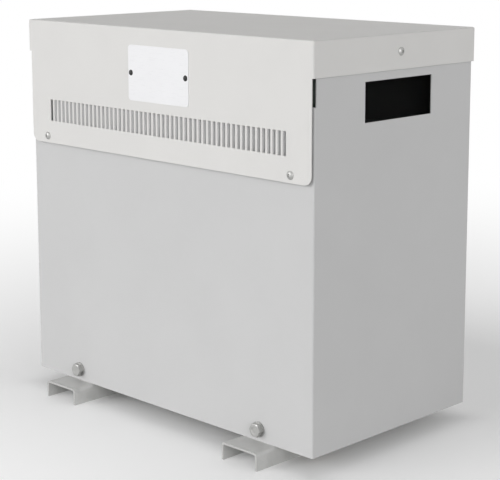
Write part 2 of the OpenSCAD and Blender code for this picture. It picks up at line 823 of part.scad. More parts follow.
module core_pads() {
    color("black") at_mounts() translate([0, 0, bar_top]) difference() {
        translate([-pad_w / 2, -pad_w / 2, 0]) cube([pad_w, pad_w, pad_t]);
        hole(bolt_d, 4 * pad_t);
    }
}

module mounting_bolts() {
    color("gray") at_mounts() translate([0, 0, foot_h - foot_t]) rotate([180, 0, 0])
        hex_bolt(bolt_d, mount_bolt_l);
}

module mounting_nuts() {
    color("gray") at_mounts() translate([0, 0, lower_leg_top]) hex_nut(bolt_d, nut_h);
}

// Laminated yoke with the tie bolt holes
module yoke(z, bolt_z) {
    color("slategray") difference() {
        translate([-core_x, -half_stack, z]) cube([2 * core_x, stack_d, limb_w]);
        for (x = limb_x) translate([x, 0, bolt_z]) to_front() hole(bolt_d, 2 * stack_d);
    }
}
module lower_yoke() yoke(core_z, tie_z[0]);
module upper_yoke() yoke(upper_yoke_z, tie_z[1]);

module limb(n) {
    color("slategray") translate([limb_x[n] - limb_w / 2, -half_stack, lower_yoke_top])
        cube([limb_w, stack_d, core_window_h]);
}
module limb_a() limb(0);
module limb_b() limb(1);
module limb_c() limb(2);

// Angle section: upright leg against x = 0, flat leg along +x at the bottom
module angle_2d(root) {
    toe = clamp_t / 2;
    square([clamp_t, clamp_h - toe]);
    square([clamp_leg - toe, clamp_t]);
    translate([0, clamp_h - toe]) square([clamp_t - toe, toe]);
    translate([clamp_t - toe, clamp_h - toe]) circle(r = toe);
    translate([clamp_leg - toe, 0]) square([toe, clamp_t - toe]);
    translate([clamp_leg - toe, clamp_t - toe]) circle(r = toe);
    if (root > 0) translate([clamp_t, clamp_t]) difference() {
        square(root);
        translate([root, root]) circle(r = root);
    }
}

// Angle along X at the rear of the core, flat leg pointing away from it
module lower_clamp() {
    color("dimgray") difference() {
        translate([-clamp_l / 2, half_stack, pad_top]) rotate([90, 0, 90])
            linear_extrude(clamp_l) angle_2d(clamp_t);
        for (x = limb_x) translate([x, clamp_face, tie_z[0]]) to_front() hole(bolt_d, 4 * bolt_d);
        for (x = bar_x) translate([x, mount_y, pad_top]) hole(bolt_d, 3 * bolt_d);
    }
}
module lower_clamp_rear() lower_clamp();
module lower_clamp_front() mirror([0, 1, 0]) lower_clamp();

// Angle along X at the rear of the core, flat leg lying on the upper yoke
module upper_clamp() {
    color("dimgray") difference() {
        translate([-clamp_l / 2, clamp_face, core_top + clamp_t]) rotate([180, 0, 0])
            rotate([90, 0, 90]) linear_extrude(clamp_l) angle_2d(0);
        for (x = limb_x) translate([x, clamp_face, tie_z[1]]) to_front() hole(bolt_d, 4 * bolt_d);
        for (x = post_x) translate([x, clamp_face, post_screw_z]) to_front() hole(screw_d, 6 * screw_d);
    }
}
module upper_clamp_rear() upper_clamp();
module upper_clamp_front() mirror([0, 1, 0]) upper_clamp();

module tie_bolts() {
    color("gray") for (x = limb_x, z = tie_z)
        translate([x, tie_l / 2, z]) to_front() cylinder(d = bolt_d, h = tie_l);
}

module tie_bolt_nuts() {
    color("gray") for (x = limb_x, z = tie_z) {
        translate([x, -clamp_face, z]) to_front() hex_nut(bolt_d, nut_h);
        translate([x, clamp_face, z]) to_rear() hex_nut(bolt_d, nut_h);
    }
}

// Corner radius of a winding shell whose face lies this far off the limb
function shell_r(off) = former_r + off - former_out;

// Plan section between two offsets from the limb
module shell_2d(inner, outer) {
    difference() {
        round_rect_2d(limb_w + 2 * outer, stack_d + 2 * outer, shell_r(outer));
        round_rect_2d(limb_w + 2 * inner, stack_d + 2 * inner, shell_r(inner));
    }
}

module coil_former(n) {
    color("tan") translate([limb_x[n], 0, lower_yoke_top]) linear_extrude(core_window_h - 0.5)
        difference() {
            round_rect_2d(limb_w + 2 * former_out, stack_d + 2 * former_out, former_r);
            square([limb_w + 2 * former_in, stack_d + 2 * former_in], center = true);
        }
}
module coil_former_a() coil_former(0);
module coil_former_b() coil_former(1);
module coil_former_c() coil_former(2);

module lv_winding(n) {
    color("peru") translate([limb_x[n], 0, coil_z]) linear_extrude(coil_h) shell_2d(lv_in, lv_out);
}
module lv_winding_a() lv_winding(0);
module lv_winding_b() lv_winding(1);
module lv_winding_c() lv_winding(2);

// Sticks that keep the cooling duct open between the windings
module duct_sticks(n) {
    near = lv_out + slip;
    dx = limb_w / 4;
    dy = stack_d / 3;
    color("burlywood") translate([limb_x[n], 0, coil_z]) for (s = [-1, 1], k = [-1, 1]) {
        translate([k * dx - stick_w / 2, s > 0 ? half_stack + near : -half_stack - near - duct_t, 0])
            cube([stick_w, duct_t, coil_h]);
        translate([s > 0 ? limb_w / 2 + near : -limb_w / 2 - near - duct_t, k * dy - stick_w / 2, 0])
            cube([duct_t, stick_w, coil_h]);
    }
}
module duct_sticks_a() duct_sticks(0);
module duct_sticks_b() duct_sticks(1);
module duct_sticks_c() duct_sticks(2);

module hv_winding(n) {
    color("sienna") translate([limb_x[n], 0, coil_z]) linear_extrude(coil_h) shell_2d(hv_in, hv_out);
}
module hv_winding_a() hv_winding(0);
module hv_winding_b() hv_winding(1);
module hv_winding_c() hv_winding(2);

// Blocks between the winding ends and the yokes, in the core windows
module coil_blocks() {
    mid = limb_w / 2 + (lv_in + hv_out) / 2;
    color("burlywood") for (w = [-1, 1], k = [-1, 1], z = [lower_yoke_top, coil_z + coil_h])
        translate([w * limb_pitch / 2 + k * (limb_pitch / 2 - mid) - block_w / 2, -block_d / 2, z])
            cube([block_w, block_d, block_h]);
}

// Posts on the upper front clamp that carry the terminal rail
module terminal_posts() {
    top = rail_mid_z + rail_h / 2;
    color("dimgray") for (x = post_x) difference() {
        translate([x - post_w / 2, -post_face, post_z]) cube([post_w, post_t, top - post_z]);
        translate([x, -clamp_face, post_screw_z]) to_front() hole(screw_d, 5 * screw_d);
        translate([x, -clamp_face, rail_mid_z]) to_front() hole(screw_d, 5 * screw_d);
    }
}

module post_screws() {
    color("gray") for (x = post_x) {
        translate([x, -post_face, post_screw_z]) to_front() button_screw(post_t + clamp_t + 6);
        translate([x, -post_face - rail_t, rail_mid_z]) to_front()
            button_screw(post_t + rail_t + 6);
        translate([x, -half_stack + 5, post_screw_z]) to_front() hex_nut(screw_d, 5);
        translate([x, -clamp_face + 5, rail_mid_z]) to_front() hex_nut(screw_d, 5);
    }
}

// Top-hat rail
module rail_2d() {
    mouth = rail_h / 2 - 5;
    translate([-mouth - rail_t, 0]) square([2 * (mouth + rail_t), rail_t]);
    for (m = [0, 1]) mirror([m, 0]) {
        translate([mouth, 0]) square([rail_t, rail_d]);
        translate([mouth, rail_d - rail_t]) square([rail_h / 2 - mouth, rail_t]);
    }
}

module terminal_rail() {
    color("silver") difference() {
        translate([-rail_l / 2, -post_face, rail_mid_z]) rotate([0, 90, 0]) rotate([0, 0, 180])
            linear_extrude(rail_l) rail_2d();
        for (x = post_x)
            translate([x, -post_face, rail_mid_z]) to_front() hole(screw_d, screw_d);
    }
}

// Terminal block side outline, back edge on x = 0, middle on y = 0
module terminal_2d() {
    h = terminal_h / 2;
    d = terminal_d;
    polygon([[0, -h], [0.6 * d, -h], [0.75 * d, -0.7 * h], [0.75 * d, -0.4 * h], [d, -0.4 * h],
        [d, 0.4 * h], [0.75 * d, 0.4 * h], [0.75 * d, 0.7 * h], [0.6 * d, h], [0, h]]);
    for (m = [0, 1]) mirror([0, m]) translate([-rail_d / 2, rail_h / 2 + slip])
        square([rail_d / 2 + 1, 0.08 * rail_h]);
}

// One terminal block at x, its lead entry cut by the children
module terminal(x) {
    difference() {
        translate([x - terminal_w / 2, -rail_face, rail_mid_z]) rotate([90, 0, 90])
            linear_extrude(terminal_w) mirror([1, 0]) terminal_2d();
        // clamping screw wells
        for (s = [-1, 1])
            translate([x, -rail_face - 0.75 * terminal_d, rail_mid_z + s * 0.55 * terminal_h / 2])
                to_front() translate([0, 0, -well_depth]) cylinder(d = well_d, h = terminal_d);
        // upper wire entry
        translate([x, -hv_lead_y, rail_mid_z + terminal_h / 2 - entry_depth])
            cylinder(d = entry_d, h = entry_depth + 1);
        children();
    }
}

// Leads leave each winding at two places either side of its limb axis
function lead_x(dx) = [for (x = limb_x, s = [-1, 1]) x + s * dx];

module hv_terminals() {
    color("darkgreen") for (x = lead_x(hv_lead_dx)) terminal(x)
        translate([x, -hv_lead_y, terminal_z - 1]) cylinder(d = rod_lead_d + slip, h = entry_depth + 1);
}

module lv_terminals() {
    color("darkseagreen") for (x = lead_x(lv_lead_dx)) terminal(x)
        translate([x - bar_lead_w / 2 - slip / 2, -hv_lead_y - bar_lead_t / 2 - slip / 2, terminal_z - 1])
            cube([bar_lead_w + slip, bar_lead_t + slip, entry_depth + 1]);
}

module hv_leads() {
    z = coil_z + coil_h;
    color("orangered") for (x = lead_x(hv_lead_dx))
        translate([x, -hv_lead_y, z]) cylinder(d = rod_lead_d, h = terminal_z + entry_depth - z);
}

// Copper bars that step forwards from the inner winding to the terminals
module lv_leads() {
    z = coil_z + coil_h;
    t = bar_lead_t;
    step = hv_lead_y - lv_lead_y;
    color("darkorange") for (x = lead_x(lv_lead_dx))
        translate([x - bar_lead_w / 2, -lv_lead_y, 0]) rotate([90, 0, 90])
            linear_extrude(bar_lead_w) {
                translate([-t / 2, z]) square([t, lead_turn_z - z]);
                translate([-step - t / 2, lead_turn_z - t]) square([step + t, t]);
                translate([-step - t / 2, lead_turn_z - t])
                    square([t, terminal_z + entry_depth - lead_turn_z + t]);
            }
}

case_wrap();
rear_panel();
rear_crossbar();
base_tray();
hood();
nameplate();
nameplate_rivets();
hood_front_screws();
hood_side_screws();
skirt_spacers();
blind_nuts();
foot_left();
foot_right();
carrier_bar_left();
carrier_bar_right();
base_bolts();
base_washers();
base_nuts();
rear_panel_screws();
crossbar_rivets();
earth_stud();
earth_nuts();
core_pads();
mounting_bolts();
mounting_nuts();
lower_yoke();
upper_yoke();
limb_a();
limb_b();
limb_c();
lower_clamp_front();
lower_clamp_rear();
upper_clamp_front();
upper_clamp_rear();
tie_bolts();
tie_bolt_nuts();
coil_former_a();
coil_former_b();
coil_former_c();
lv_winding_a();
lv_winding_b();
lv_winding_c();
duct_sticks_a();
duct_sticks_b();
duct_sticks_c();
hv_winding_a();
hv_winding_b();
hv_winding_c();
coil_blocks();
terminal_posts();
post_screws();
terminal_rail();
hv_terminals();
lv_terminals();
hv_leads();
lv_leads();
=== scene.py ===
"""Looks of an enclosed dry-type three-phase transformer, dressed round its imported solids."""

import json
import math

import bmesh
import bpy
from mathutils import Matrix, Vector

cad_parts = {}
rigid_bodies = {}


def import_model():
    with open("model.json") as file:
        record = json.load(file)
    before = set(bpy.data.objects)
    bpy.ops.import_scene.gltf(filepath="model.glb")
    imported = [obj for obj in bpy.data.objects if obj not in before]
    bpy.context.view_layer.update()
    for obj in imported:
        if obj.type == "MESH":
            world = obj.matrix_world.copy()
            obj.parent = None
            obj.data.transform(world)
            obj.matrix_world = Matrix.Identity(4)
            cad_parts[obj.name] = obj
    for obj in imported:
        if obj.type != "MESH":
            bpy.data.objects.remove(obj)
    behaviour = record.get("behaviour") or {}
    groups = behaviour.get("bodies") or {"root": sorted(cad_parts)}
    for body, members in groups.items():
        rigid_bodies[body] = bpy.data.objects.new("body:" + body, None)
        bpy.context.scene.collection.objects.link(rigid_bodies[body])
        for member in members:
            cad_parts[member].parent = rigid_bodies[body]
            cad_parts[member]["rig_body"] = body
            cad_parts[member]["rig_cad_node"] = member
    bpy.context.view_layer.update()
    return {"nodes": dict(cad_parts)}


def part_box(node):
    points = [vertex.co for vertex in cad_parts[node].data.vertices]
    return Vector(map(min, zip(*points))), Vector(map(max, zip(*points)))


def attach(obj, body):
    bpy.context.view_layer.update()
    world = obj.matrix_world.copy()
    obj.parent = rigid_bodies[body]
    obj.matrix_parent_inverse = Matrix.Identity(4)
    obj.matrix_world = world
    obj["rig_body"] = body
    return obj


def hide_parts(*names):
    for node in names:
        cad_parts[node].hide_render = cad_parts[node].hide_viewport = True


bl_info = {
    "name": "Three-phase transformer",
    "version": (1, 0, 0),
    "blender": (4, 5, 0),
    "location": "3D View > Sidebar > Transformer",
    "description": "Finishes the case, hood, fasteners, core and windings of a dry transformer",
    "category": "Object",
}

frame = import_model()
BODY = "root"

# Lengths are in metres
MM = 0.001
QUARTER = math.radians(90)
# Edges that turn more than the first are sharp, and faces that turn less than the second are flat
SHARP = math.radians(35)
FLAT = math.radians(0.5)
# Cosine above which a face or an edge counts as running along an axis
ALONG = 0.9
# Vertices closer than this are one
WELD = 0.01 * MM
# How far inside a surface its shading may change, and a limit that no face reaches
SKIN = 0.1 * MM
FAR = 9.0
WHITE = (1, 1, 1, 1)
CUT_STEEL = (0.5, 0.5, 0.49, 1)
VARNISH = (0.11, 0.085, 0.06, 1)


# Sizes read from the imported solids

def across(node, axis):
    low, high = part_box(node)
    return high[axis] - low[axis]


BOLT_FLATS = across("base_bolts", 2)
WASHER_WIDTH = across("base_washers", 2)
SCREW_HEAD_WIDTH = across("hood_front_screws", 2)
RIVET_WIDTH = across("nameplate_rivets", 2)
# Depth from the outer surface at which the inner face of the sheet begins
INNER_FACE = across("rear_panel", 1) - SKIN


def solid_boxes(node):
    """Lowest and highest corner of each separate solid of a CAD node."""
    grid = bmesh.new()
    grid.from_mesh(frame["nodes"][node].data)
    bmesh.ops.transform(grid, matrix=frame["nodes"][node].matrix_world, verts=grid.verts)
    bmesh.ops.remove_doubles(grid, verts=grid.verts, dist=WELD)
    left = set(grid.verts)
    boxes = []
    while left:
        reached = [left.pop()]
        solid = []
        while reached:
            vert = reached.pop()
            solid.append(vert.co.copy())
            for edge in vert.link_edges:
                other = edge.other_vert(vert)
                if other in left:
                    left.remove(other)
                    reached.append(other)
        low = Vector([min(point[axis] for point in solid) for axis in range(3)])
        high = Vector([max(point[axis] for point in solid) for axis in range(3)])
        boxes.append((low, high))
    grid.free()
    return sorted(boxes, key=lambda box: tuple(box[0]))


class SheetFinish(bpy.types.PropertyGroup):
    hood_colour: bpy.props.FloatVectorProperty(
        name="Hood", description="Powder coat of the hood", subtype="COLOR", size=3,
        min=0, max=1, default=(0.735, 0.727, 0.712))
    case_colour: bpy.props.FloatVectorProperty(
        name="Case", description="Powder coat of the case and rear panel", subtype="COLOR", size=3,
        min=0, max=1, default=(0.612, 0.612, 0.612))
    # Painted shade: the sheet's inner faces get this dark colour so that the inside of the case
    # looks shaded through its openings
    inside_shade_colour: bpy.props.FloatVectorProperty(
        name="Inside", description="Dark face of the sheet inside the case", subtype="COLOR",
        size=3, min=0, max=1, default=(0.1, 0.1, 0.1))
    grain: bpy.props.FloatProperty(
        name="Coat grain", description="Width of one bump in the powder coat", subtype="DISTANCE",
        unit="LENGTH", min=0.0002, max=0.01, default=0.0009)
    grain_depth: bpy.props.FloatProperty(
        name="Coat depth", description="Height of the bumps in the powder coat", subtype="DISTANCE",
        unit="LENGTH", min=0, max=0.001, default=0.0003)
    edge_round: bpy.props.FloatProperty(
        name="Edge rounding", description="Rounding of cut and coated sheet edges",
        subtype="DISTANCE", unit="LENGTH", min=0, max=0.001, default=0.0003)


class PlateFinish(bpy.types.PropertyGroup):
    colour: bpy.props.FloatVectorProperty(
        name="Plate", description="Coat of the blank nameplate", subtype="COLOR", size=3,
        min=0, max=1, default=(0.86, 0.86, 0.875))
    rivet_colour: bpy.props.FloatVectorProperty(
        name="Rivets", description="Blackened rivets", subtype="COLOR", size=3,
        min=0, max=1, default=(0.01, 0.01, 0.01))
    corner: bpy.props.FloatProperty(
        name="Corner radius", description="Radius of the plate's corners", subtype="DISTANCE",
        unit="LENGTH", min=0.001, max=0.02, default=0.005)


class MetalFinish(bpy.types.PropertyGroup):
    zinc_colour: bpy.props.FloatVectorProperty(
        name="Zinc", description="Plated bolts, screws and washers", subtype="COLOR", size=3,
        min=0, max=1, default=(0.42, 0.42, 0.41))
    galvanised_colour: bpy.props.FloatVectorProperty(
        name="Galvanised", description="Feet, tray, rail and crossbar", subtype="COLOR", size=3,
        min=0, max=1, default=(0.54, 0.54, 0.53))
    spangle: bpy.props.FloatProperty(
        name="Spangle", description="Width of one zinc crystal", subtype="DISTANCE",
        unit="LENGTH", min=0.002, max=0.05, default=0.009)
    brass_colour: bpy.props.FloatVectorProperty(
        name="Brass", description="Earth stud and blind nuts", subtype="COLOR", size=3,
        min=0, max=1, default=(0.62, 0.44, 0.19))
    copper_colour: bpy.props.FloatVectorProperty(
        name="Copper", description="Low-voltage windings and leads", subtype="COLOR", size=3,
        min=0, max=1, default=(0.58, 0.25, 0.12))
    frame_colour: bpy.props.FloatVectorProperty(
        name="Frame", description="Primer on clamps, bars and posts", subtype="COLOR", size=3,
        min=0, max=1, default=(0.035, 0.037, 0.04))


class InsideFinish(bpy.types.PropertyGroup):
    core_colour: bpy.props.FloatVectorProperty(
        name="Core", description="Varnished core sheet", subtype="COLOR", size=3,
        min=0, max=1, default=(0.07, 0.075, 0.085))
    lamination: bpy.props.FloatProperty(
        name="Lamination", description="Spacing of the visible sheet edges", subtype="DISTANCE",
        unit="LENGTH", min=0.0002, max=0.01, default=0.0014)
    tape_colour: bpy.props.FloatVectorProperty(
        name="Winding tape", description="Impregnated tape of the outer windings", subtype="COLOR",
        size=3, min=0, max=1, default=(0.22, 0.075, 0.022))
    tape_pitch: bpy.props.FloatProperty(
        name="Tape pitch", description="Rise of the tape at each turn", subtype="DISTANCE",
        unit="LENGTH", min=0.002, max=0.05, default=0.0125)
    board_colour: bpy.props.FloatVectorProperty(
        name="Pressboard", description="Formers, sticks and blocks", subtype="COLOR", size=3,
        min=0, max=1, default=(0.36, 0.22, 0.09))
    rubber_colour: bpy.props.FloatVectorProperty(
        name="Rubber", description="Pads under the core", subtype="COLOR", size=3,
        min=0, max=1, default=(0.014, 0.014, 0.014))
    high_colour: bpy.props.FloatVectorProperty(
        name="High-voltage blocks", description="Moulded terminal blocks", subtype="COLOR", size=3,
        min=0, max=1, default=(0.016, 0.055, 0.028))
    low_colour: bpy.props.FloatVectorProperty(
        name="Low-voltage blocks", description="Moulded terminal blocks", subtype="COLOR", size=3,
        min=0, max=1, default=(0.28, 0.3, 0.29))
    sleeve_colour: bpy.props.FloatVectorProperty(
        name="Lead sleeve", description="Silicone sleeve of the high-voltage leads",
        subtype="COLOR", size=3, min=0, max=1, default=(0.3, 0.02, 0.01))


class Studio(bpy.types.PropertyGroup):
    camera_place: bpy.props.FloatVectorProperty(
        name="Camera place", description="Where the camera stands", subtype="TRANSLATION",
        unit="LENGTH", size=3, default=(1.4648, -1.4622, 0.6925))
    camera_turn: bpy.props.FloatProperty(
        name="Camera turn", description="Angle round the object from its front", subtype="ANGLE",
        default=math.radians(44.80))
    camera_rise: bpy.props.FloatProperty(
        name="Camera rise", description="Angle above the horizon", subtype="ANGLE",
        default=math.radians(9.63))
    camera_roll: bpy.props.FloatProperty(
        name="Camera roll", description="Turn of the camera about its own line", subtype="ANGLE",
        default=math.radians(-0.05))
    lens: bpy.props.FloatProperty(
        name="Lens", description="Focal length in millimetres", min=20, max=300, default=105.57)
    shift: bpy.props.FloatProperty(
        name="Shift", description="Upward shift of the lens", min=-0.3, max=0.3, default=-0.14)
    key: bpy.props.FloatProperty(
        name="Key light", description="Strength of the lamp at the front left", min=0, max=10,
        default=1.71)
    fill: bpy.props.FloatProperty(
        name="Fill light", description="Strength of the lamp at the right", min=0, max=10,
        default=1.46)
    rear: bpy.props.FloatProperty(
        name="Rear light", description="Strength of the low lamp behind the object", min=0, max=10,
        default=0.7)
    sky: bpy.props.FloatProperty(
        name="Room light", description="Strength of the light from all round", min=0, max=2,
        default=0.31)
    floor_colour: bpy.props.FloatVectorProperty(
        name="Floor", description="Pale studio floor", subtype="COLOR", size=3, min=0, max=1,
        default=(0.97, 0.97, 0.97))
    # Painted shadow on the floor: floor_lift sets how much white the floor keeps beside the object,
    # and shadow_reach how far the painted shadow reaches behind it
    floor_lift: bpy.props.FloatProperty(
        name="Floor lift", description="Share of white in the floor beside the object", min=0,
        max=1, default=0.25)
    floor_reach: bpy.props.FloatProperty(
        name="Floor reach", description="Distance at which the floor has turned white",
        subtype="DISTANCE", unit="LENGTH", min=0.5, max=20, default=1.5)
    shadow_reach: bpy.props.FloatProperty(
        name="Shadow reach", description="How far the darker floor reaches behind the object",
        subtype="DISTANCE", unit="LENGTH", min=0, max=2, default=0.3)


# Selecting and modelling helpers

def pick(*pieces):
    """Select these pieces and nothing else."""
    bpy.ops.object.select_all(action="DESELECT")
    for piece in pieces:
        piece.select_set(True)
    bpy.context.view_layer.objects.active = pieces[0]


def start_piece(name):
    """Name the object that an operator has just added."""
    piece = bpy.context.object
    piece.name = name
    piece.data.name = name
    return piece


def settle(piece):
    """Put the piece's place, turn and scale into its mesh."""
    pick(piece)
    bpy.ops.object.transform_apply(location=True, rotation=True, scale=True)


def looks_up(face):
    return face.normal.z > ALONG


def looks_down(face):
    return face.normal.z < -ALONG


def runs_along(axis):
    """A test for edges that run along this axis."""
    return lambda edge: abs((edge.verts[0].co - edge.verts[1].co).normalized()[axis]) > ALONG


def choose(piece, kind, test):
    """Select the faces or edges of a piece for which the test holds, in edit mode."""
    bpy.ops.mesh.select_mode(type="FACE" if kind == "faces" else "EDGE")
    bpy.ops.mesh.select_all(action="DESELECT")
    grid = bmesh.from_edit_mesh(piece.data)
    found = 0
    for part in getattr(grid, kind):
        if test(part):
            part.select_set(True)
            found += 1
    if not found:
        raise RuntimeError("nothing to shape on " + piece.name)
    bmesh.update_edit_mesh(piece.data)


def draw_out(height):
    """Extrude the selected faces upwards, or downwards by a negative height."""
    bpy.ops.mesh.extrude_region_move(TRANSFORM_OT_translate={"value": (0, 0, height)})


def smooth(piece, angle=SHARP):
    """Shade a piece smooth up to this angle."""
    pick(piece)
    bpy.ops.object.shade_smooth_by_angle(angle=angle)


def round_edges(piece, width, segments=2):
    """Bevel the sharp edges and smooth the rest."""
    pick(piece)
    bevel = piece.modifiers.new("edges", "BEVEL")
    bevel.width = width
    bevel.segments = segments
    bevel.limit_method = "ANGLE"
    bevel.angle_limit = SHARP
    bevel.use_clamp_overlap = True
    bpy.ops.object.modifier_apply(modifier=bevel.name)
    smooth(piece)
    even_normals(piece)


def even_normals(piece):
    """Let the large faces keep their own direction, so that only the edges look round."""
    pick(piece)
    normals = piece.modifiers.new("normals", "WEIGHTED_NORMAL")
    normals.mode = "FACE_AREA"
    normals.weight = 100
    normals.keep_sharp = True
    bpy.ops.object.modifier_apply(modifier=normals.name)


def cut(piece, cutter, operation="DIFFERENCE"):
    """Shape a piece by another one, which is then removed."""
    pick(piece)
    boolean = piece.modifiers.new("cut", "BOOLEAN")
    boolean.operation = operation
    boolean.solver = "EXACT"
    boolean.object = cutter
    bpy.ops.object.modifier_apply(modifier=boolean.name)
    pick(cutter)
    bpy.ops.object.delete()


def start_cap(name, radius, height, base, rim, segments, rings):
    """A spherical cap of this height, cut off flat at its base and drawn down by its rim.

    It is left in edit mode with the flat face selected."""
    dome = (radius ** 2 + height ** 2) / (2 * height)
    bpy.ops.mesh.primitive_uv_sphere_add(segments=segments, ring_count=rings, radius=dome,
                                         location=(0, 0, height - dome))
    cap = start_piece(name)
    settle(cap)
    bpy.ops.object.mode_set(mode="EDIT")
    bpy.ops.mesh.select_all(action="SELECT")
    bpy.ops.mesh.bisect(plane_co=(0, 0, base), plane_no=(0, 0, 1), use_fill=True,
                        clear_inner=True)
    choose(cap, "faces", looks_down)
    draw_out(-rim)
    return cap


def end_pair(low, high, radius):
    """The x of the leftmost and the rightmost of like round pieces."""
    return low.x + radius, high.x - radius


def front_and_rear(xs, front, rear, z):
    """Turns and places of pieces that look out of the front and out of the rear."""
    places = [((QUARTER, 0, 0), (x, front, z)) for x in xs]
    return places + [((-QUARTER, 0, 0), (x, rear, z)) for x in xs]


def copy_to(piece, name, turn, place):
    """A copy with its own mesh, turned and put in its place."""
    pick(piece)
    bpy.ops.object.duplicate(linked=False)
    made = start_piece(name)
    made.rotation_euler = turn
    made.location = place
    settle(made)
    return made


def put_round(template, name, places):
    """Copy a template to each place, join the copies and drop the template."""
    made = [copy_to(template, f"{name}_{n}", turn, place) for n, (turn, place) in enumerate(places)]
    pick(*made)
    bpy.ops.object.join()
    piece = start_piece(name)
    pick(template)
    bpy.ops.object.delete()
    return piece


def fit_in(piece, node, material):
    """Let the piece stand for a CAD node and give it its finish."""
    piece.data.materials.clear()
    piece.data.materials.append(material)
    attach(piece, BODY)
    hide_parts(node)


def dress(node, material):
    """Give a CAD node its material."""
    piece = frame["nodes"][node]
    if not piece.material_slots:
        piece.data.materials.append(material)
    for place in piece.material_slots:
        place.material = material


def rounded_copy(node, name, width):
    """A merged copy of a CAD node, with its edges rounded."""
    pick(frame["nodes"][node])
    bpy.ops.object.duplicate(linked=False)
    piece = start_piece(name)
    # The frame's marks come off, because the copy isn't the node itself
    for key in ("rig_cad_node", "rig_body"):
        if key in piece:
            del piece[key]
    piece.parent = None
    settle(piece)
    bpy.ops.object.mode_set(mode="EDIT")
    bpy.ops.mesh.select_all(action="SELECT")
    bpy.ops.mesh.remove_doubles(threshold=WELD)
    bpy.ops.mesh.dissolve_limited(angle_limit=FLAT)
    bpy.ops.object.mode_set(mode="OBJECT")
    round_edges(piece, width)
    return piece


def soften(nodes, material, width):
    """Let merged copies with rounded edges stand for these CAD nodes."""
    for node in nodes:
        fit_in(rounded_copy(node, "rounded_" + node, width), node, material)


# Materials

def new_material(name):
    """A material, its tree, its shader and the piece's own coordinates."""
    material = bpy.data.materials.new(name)
    material.use_nodes = True
    tree = material.node_tree
    place = tree.nodes.new("ShaderNodeTexCoord").outputs["Object"]
    return material, tree, tree.nodes["Principled BSDF"], place


def add(tree, kind, inputs=(), **settings):
    """Add a node, with its settings and its inputs given by name or number."""
    made = tree.nodes.new(kind)
    for key, value in settings.items():
        setattr(made, key, value)
    for key, value in dict(inputs).items():
        if isinstance(value, bpy.types.NodeSocket):
            tree.links.new(value, made.inputs[key])
        else:
            made.inputs[key].default_value = value
    return made


def math_node(tree, operation, first, second=0.0):
    return add(tree, "ShaderNodeMath", {0: first, 1: second}, operation=operation).outputs[0]


def split_axes(tree, place):
    return add(tree, "ShaderNodeSeparateXYZ", {0: place}).outputs


def noise(tree, place, size, detail=2.0, stretch=None):
    """Noise whose features are about this wide."""
    if stretch:
        place = add(tree, "ShaderNodeMapping", {"Vector": place, "Scale": stretch}).outputs[0]
    return add(tree, "ShaderNodeTexNoise", {
        "Vector": place, "Scale": 1.0 / size, "Detail": detail,
    }).outputs["Fac"]


def between(tree, fac, low, high):
    """Spread the usual range of a noise over the range from low to high."""
    return add(tree, "ShaderNodeMapRange", {
        "Value": fac, "From Min": 0.3, "From Max": 0.7, "To Min": low, "To Max": high,
    }).outputs["Result"]


def blend_colour(tree, fac, first, second):
    """Mix two colours. The node takes them at sockets 6 and 7 and gives the mix at 2."""
    inputs = {"Factor": fac, 6: first, 7: second}
    return add(tree, "ShaderNodeMix", inputs, data_type="RGBA").outputs[2]


def shade(tree, fac, colour, spread):
    """The colour, a little darker and lighter by the factor."""
    dark = [c * (1 - spread) for c in colour] + [1]
    light = [min(1.0, c * (1 + spread)) for c in colour] + [1]
    return blend_colour(tree, between(tree, fac, low=0.0, high=1.0), dark, light)


def feed(shader, socket, value):
    """Lead a socket's value into the shader."""
    shader.id_data.links.new(value, shader.inputs[socket])


def emboss(tree, shader, height, depth, strength):
    """Raise and lower the shading by a height map."""
    bump = add(tree, "ShaderNodeBump", {"Height": height, "Distance": depth, "Strength": strength})
    feed(shader, "Normal", bump.outputs["Normal"])


def inside_shade_mask(tree, place, half_x, front, rear, top):
    """1 on the inner faces of the sheet, where the shade is painted, 0 on its outer faces."""
    axes = split_axes(tree, place)
    mask = math_node(tree, "LESS_THAN", math_node(tree, "ABSOLUTE", axes[0]), half_x)
    mask = math_node(tree, "MULTIPLY", mask, math_node(tree, "GREATER_THAN", axes[1], front))
    mask = math_node(tree, "MULTIPLY", mask, math_node(tree, "LESS_THAN", axes[1], rear))
    return math_node(tree, "MULTIPLY", mask, math_node(tree, "LESS_THAN", axes[2], top))


def powder_coat(name, colour, finish, shade_box):
    """Finely textured coat, with painted shade on the faces that lie inside the box."""
    material, tree, shader, place = new_material(name)
    coat = shade(tree, noise(tree, place, size=90 * MM, detail=3), colour, spread=0.012)
    # Painted shade: the faces inside the box take the dark inside colour instead of the coat
    dark = list(finish.inside_shade_colour) + [1]
    mask = inside_shade_mask(tree, place, *shade_box)
    feed(shader, "Base Color", blend_colour(tree, mask, coat, dark))
    patches = noise(tree, place, size=4 * MM)
    feed(shader, "Roughness", between(tree, patches, low=0.52, high=0.62))
    shader.inputs["Specular IOR Level"].default_value = 0.15
    grain = noise(tree, place, size=finish.grain)
    emboss(tree, shader, grain, depth=finish.grain_depth, strength=0.6)
    return material


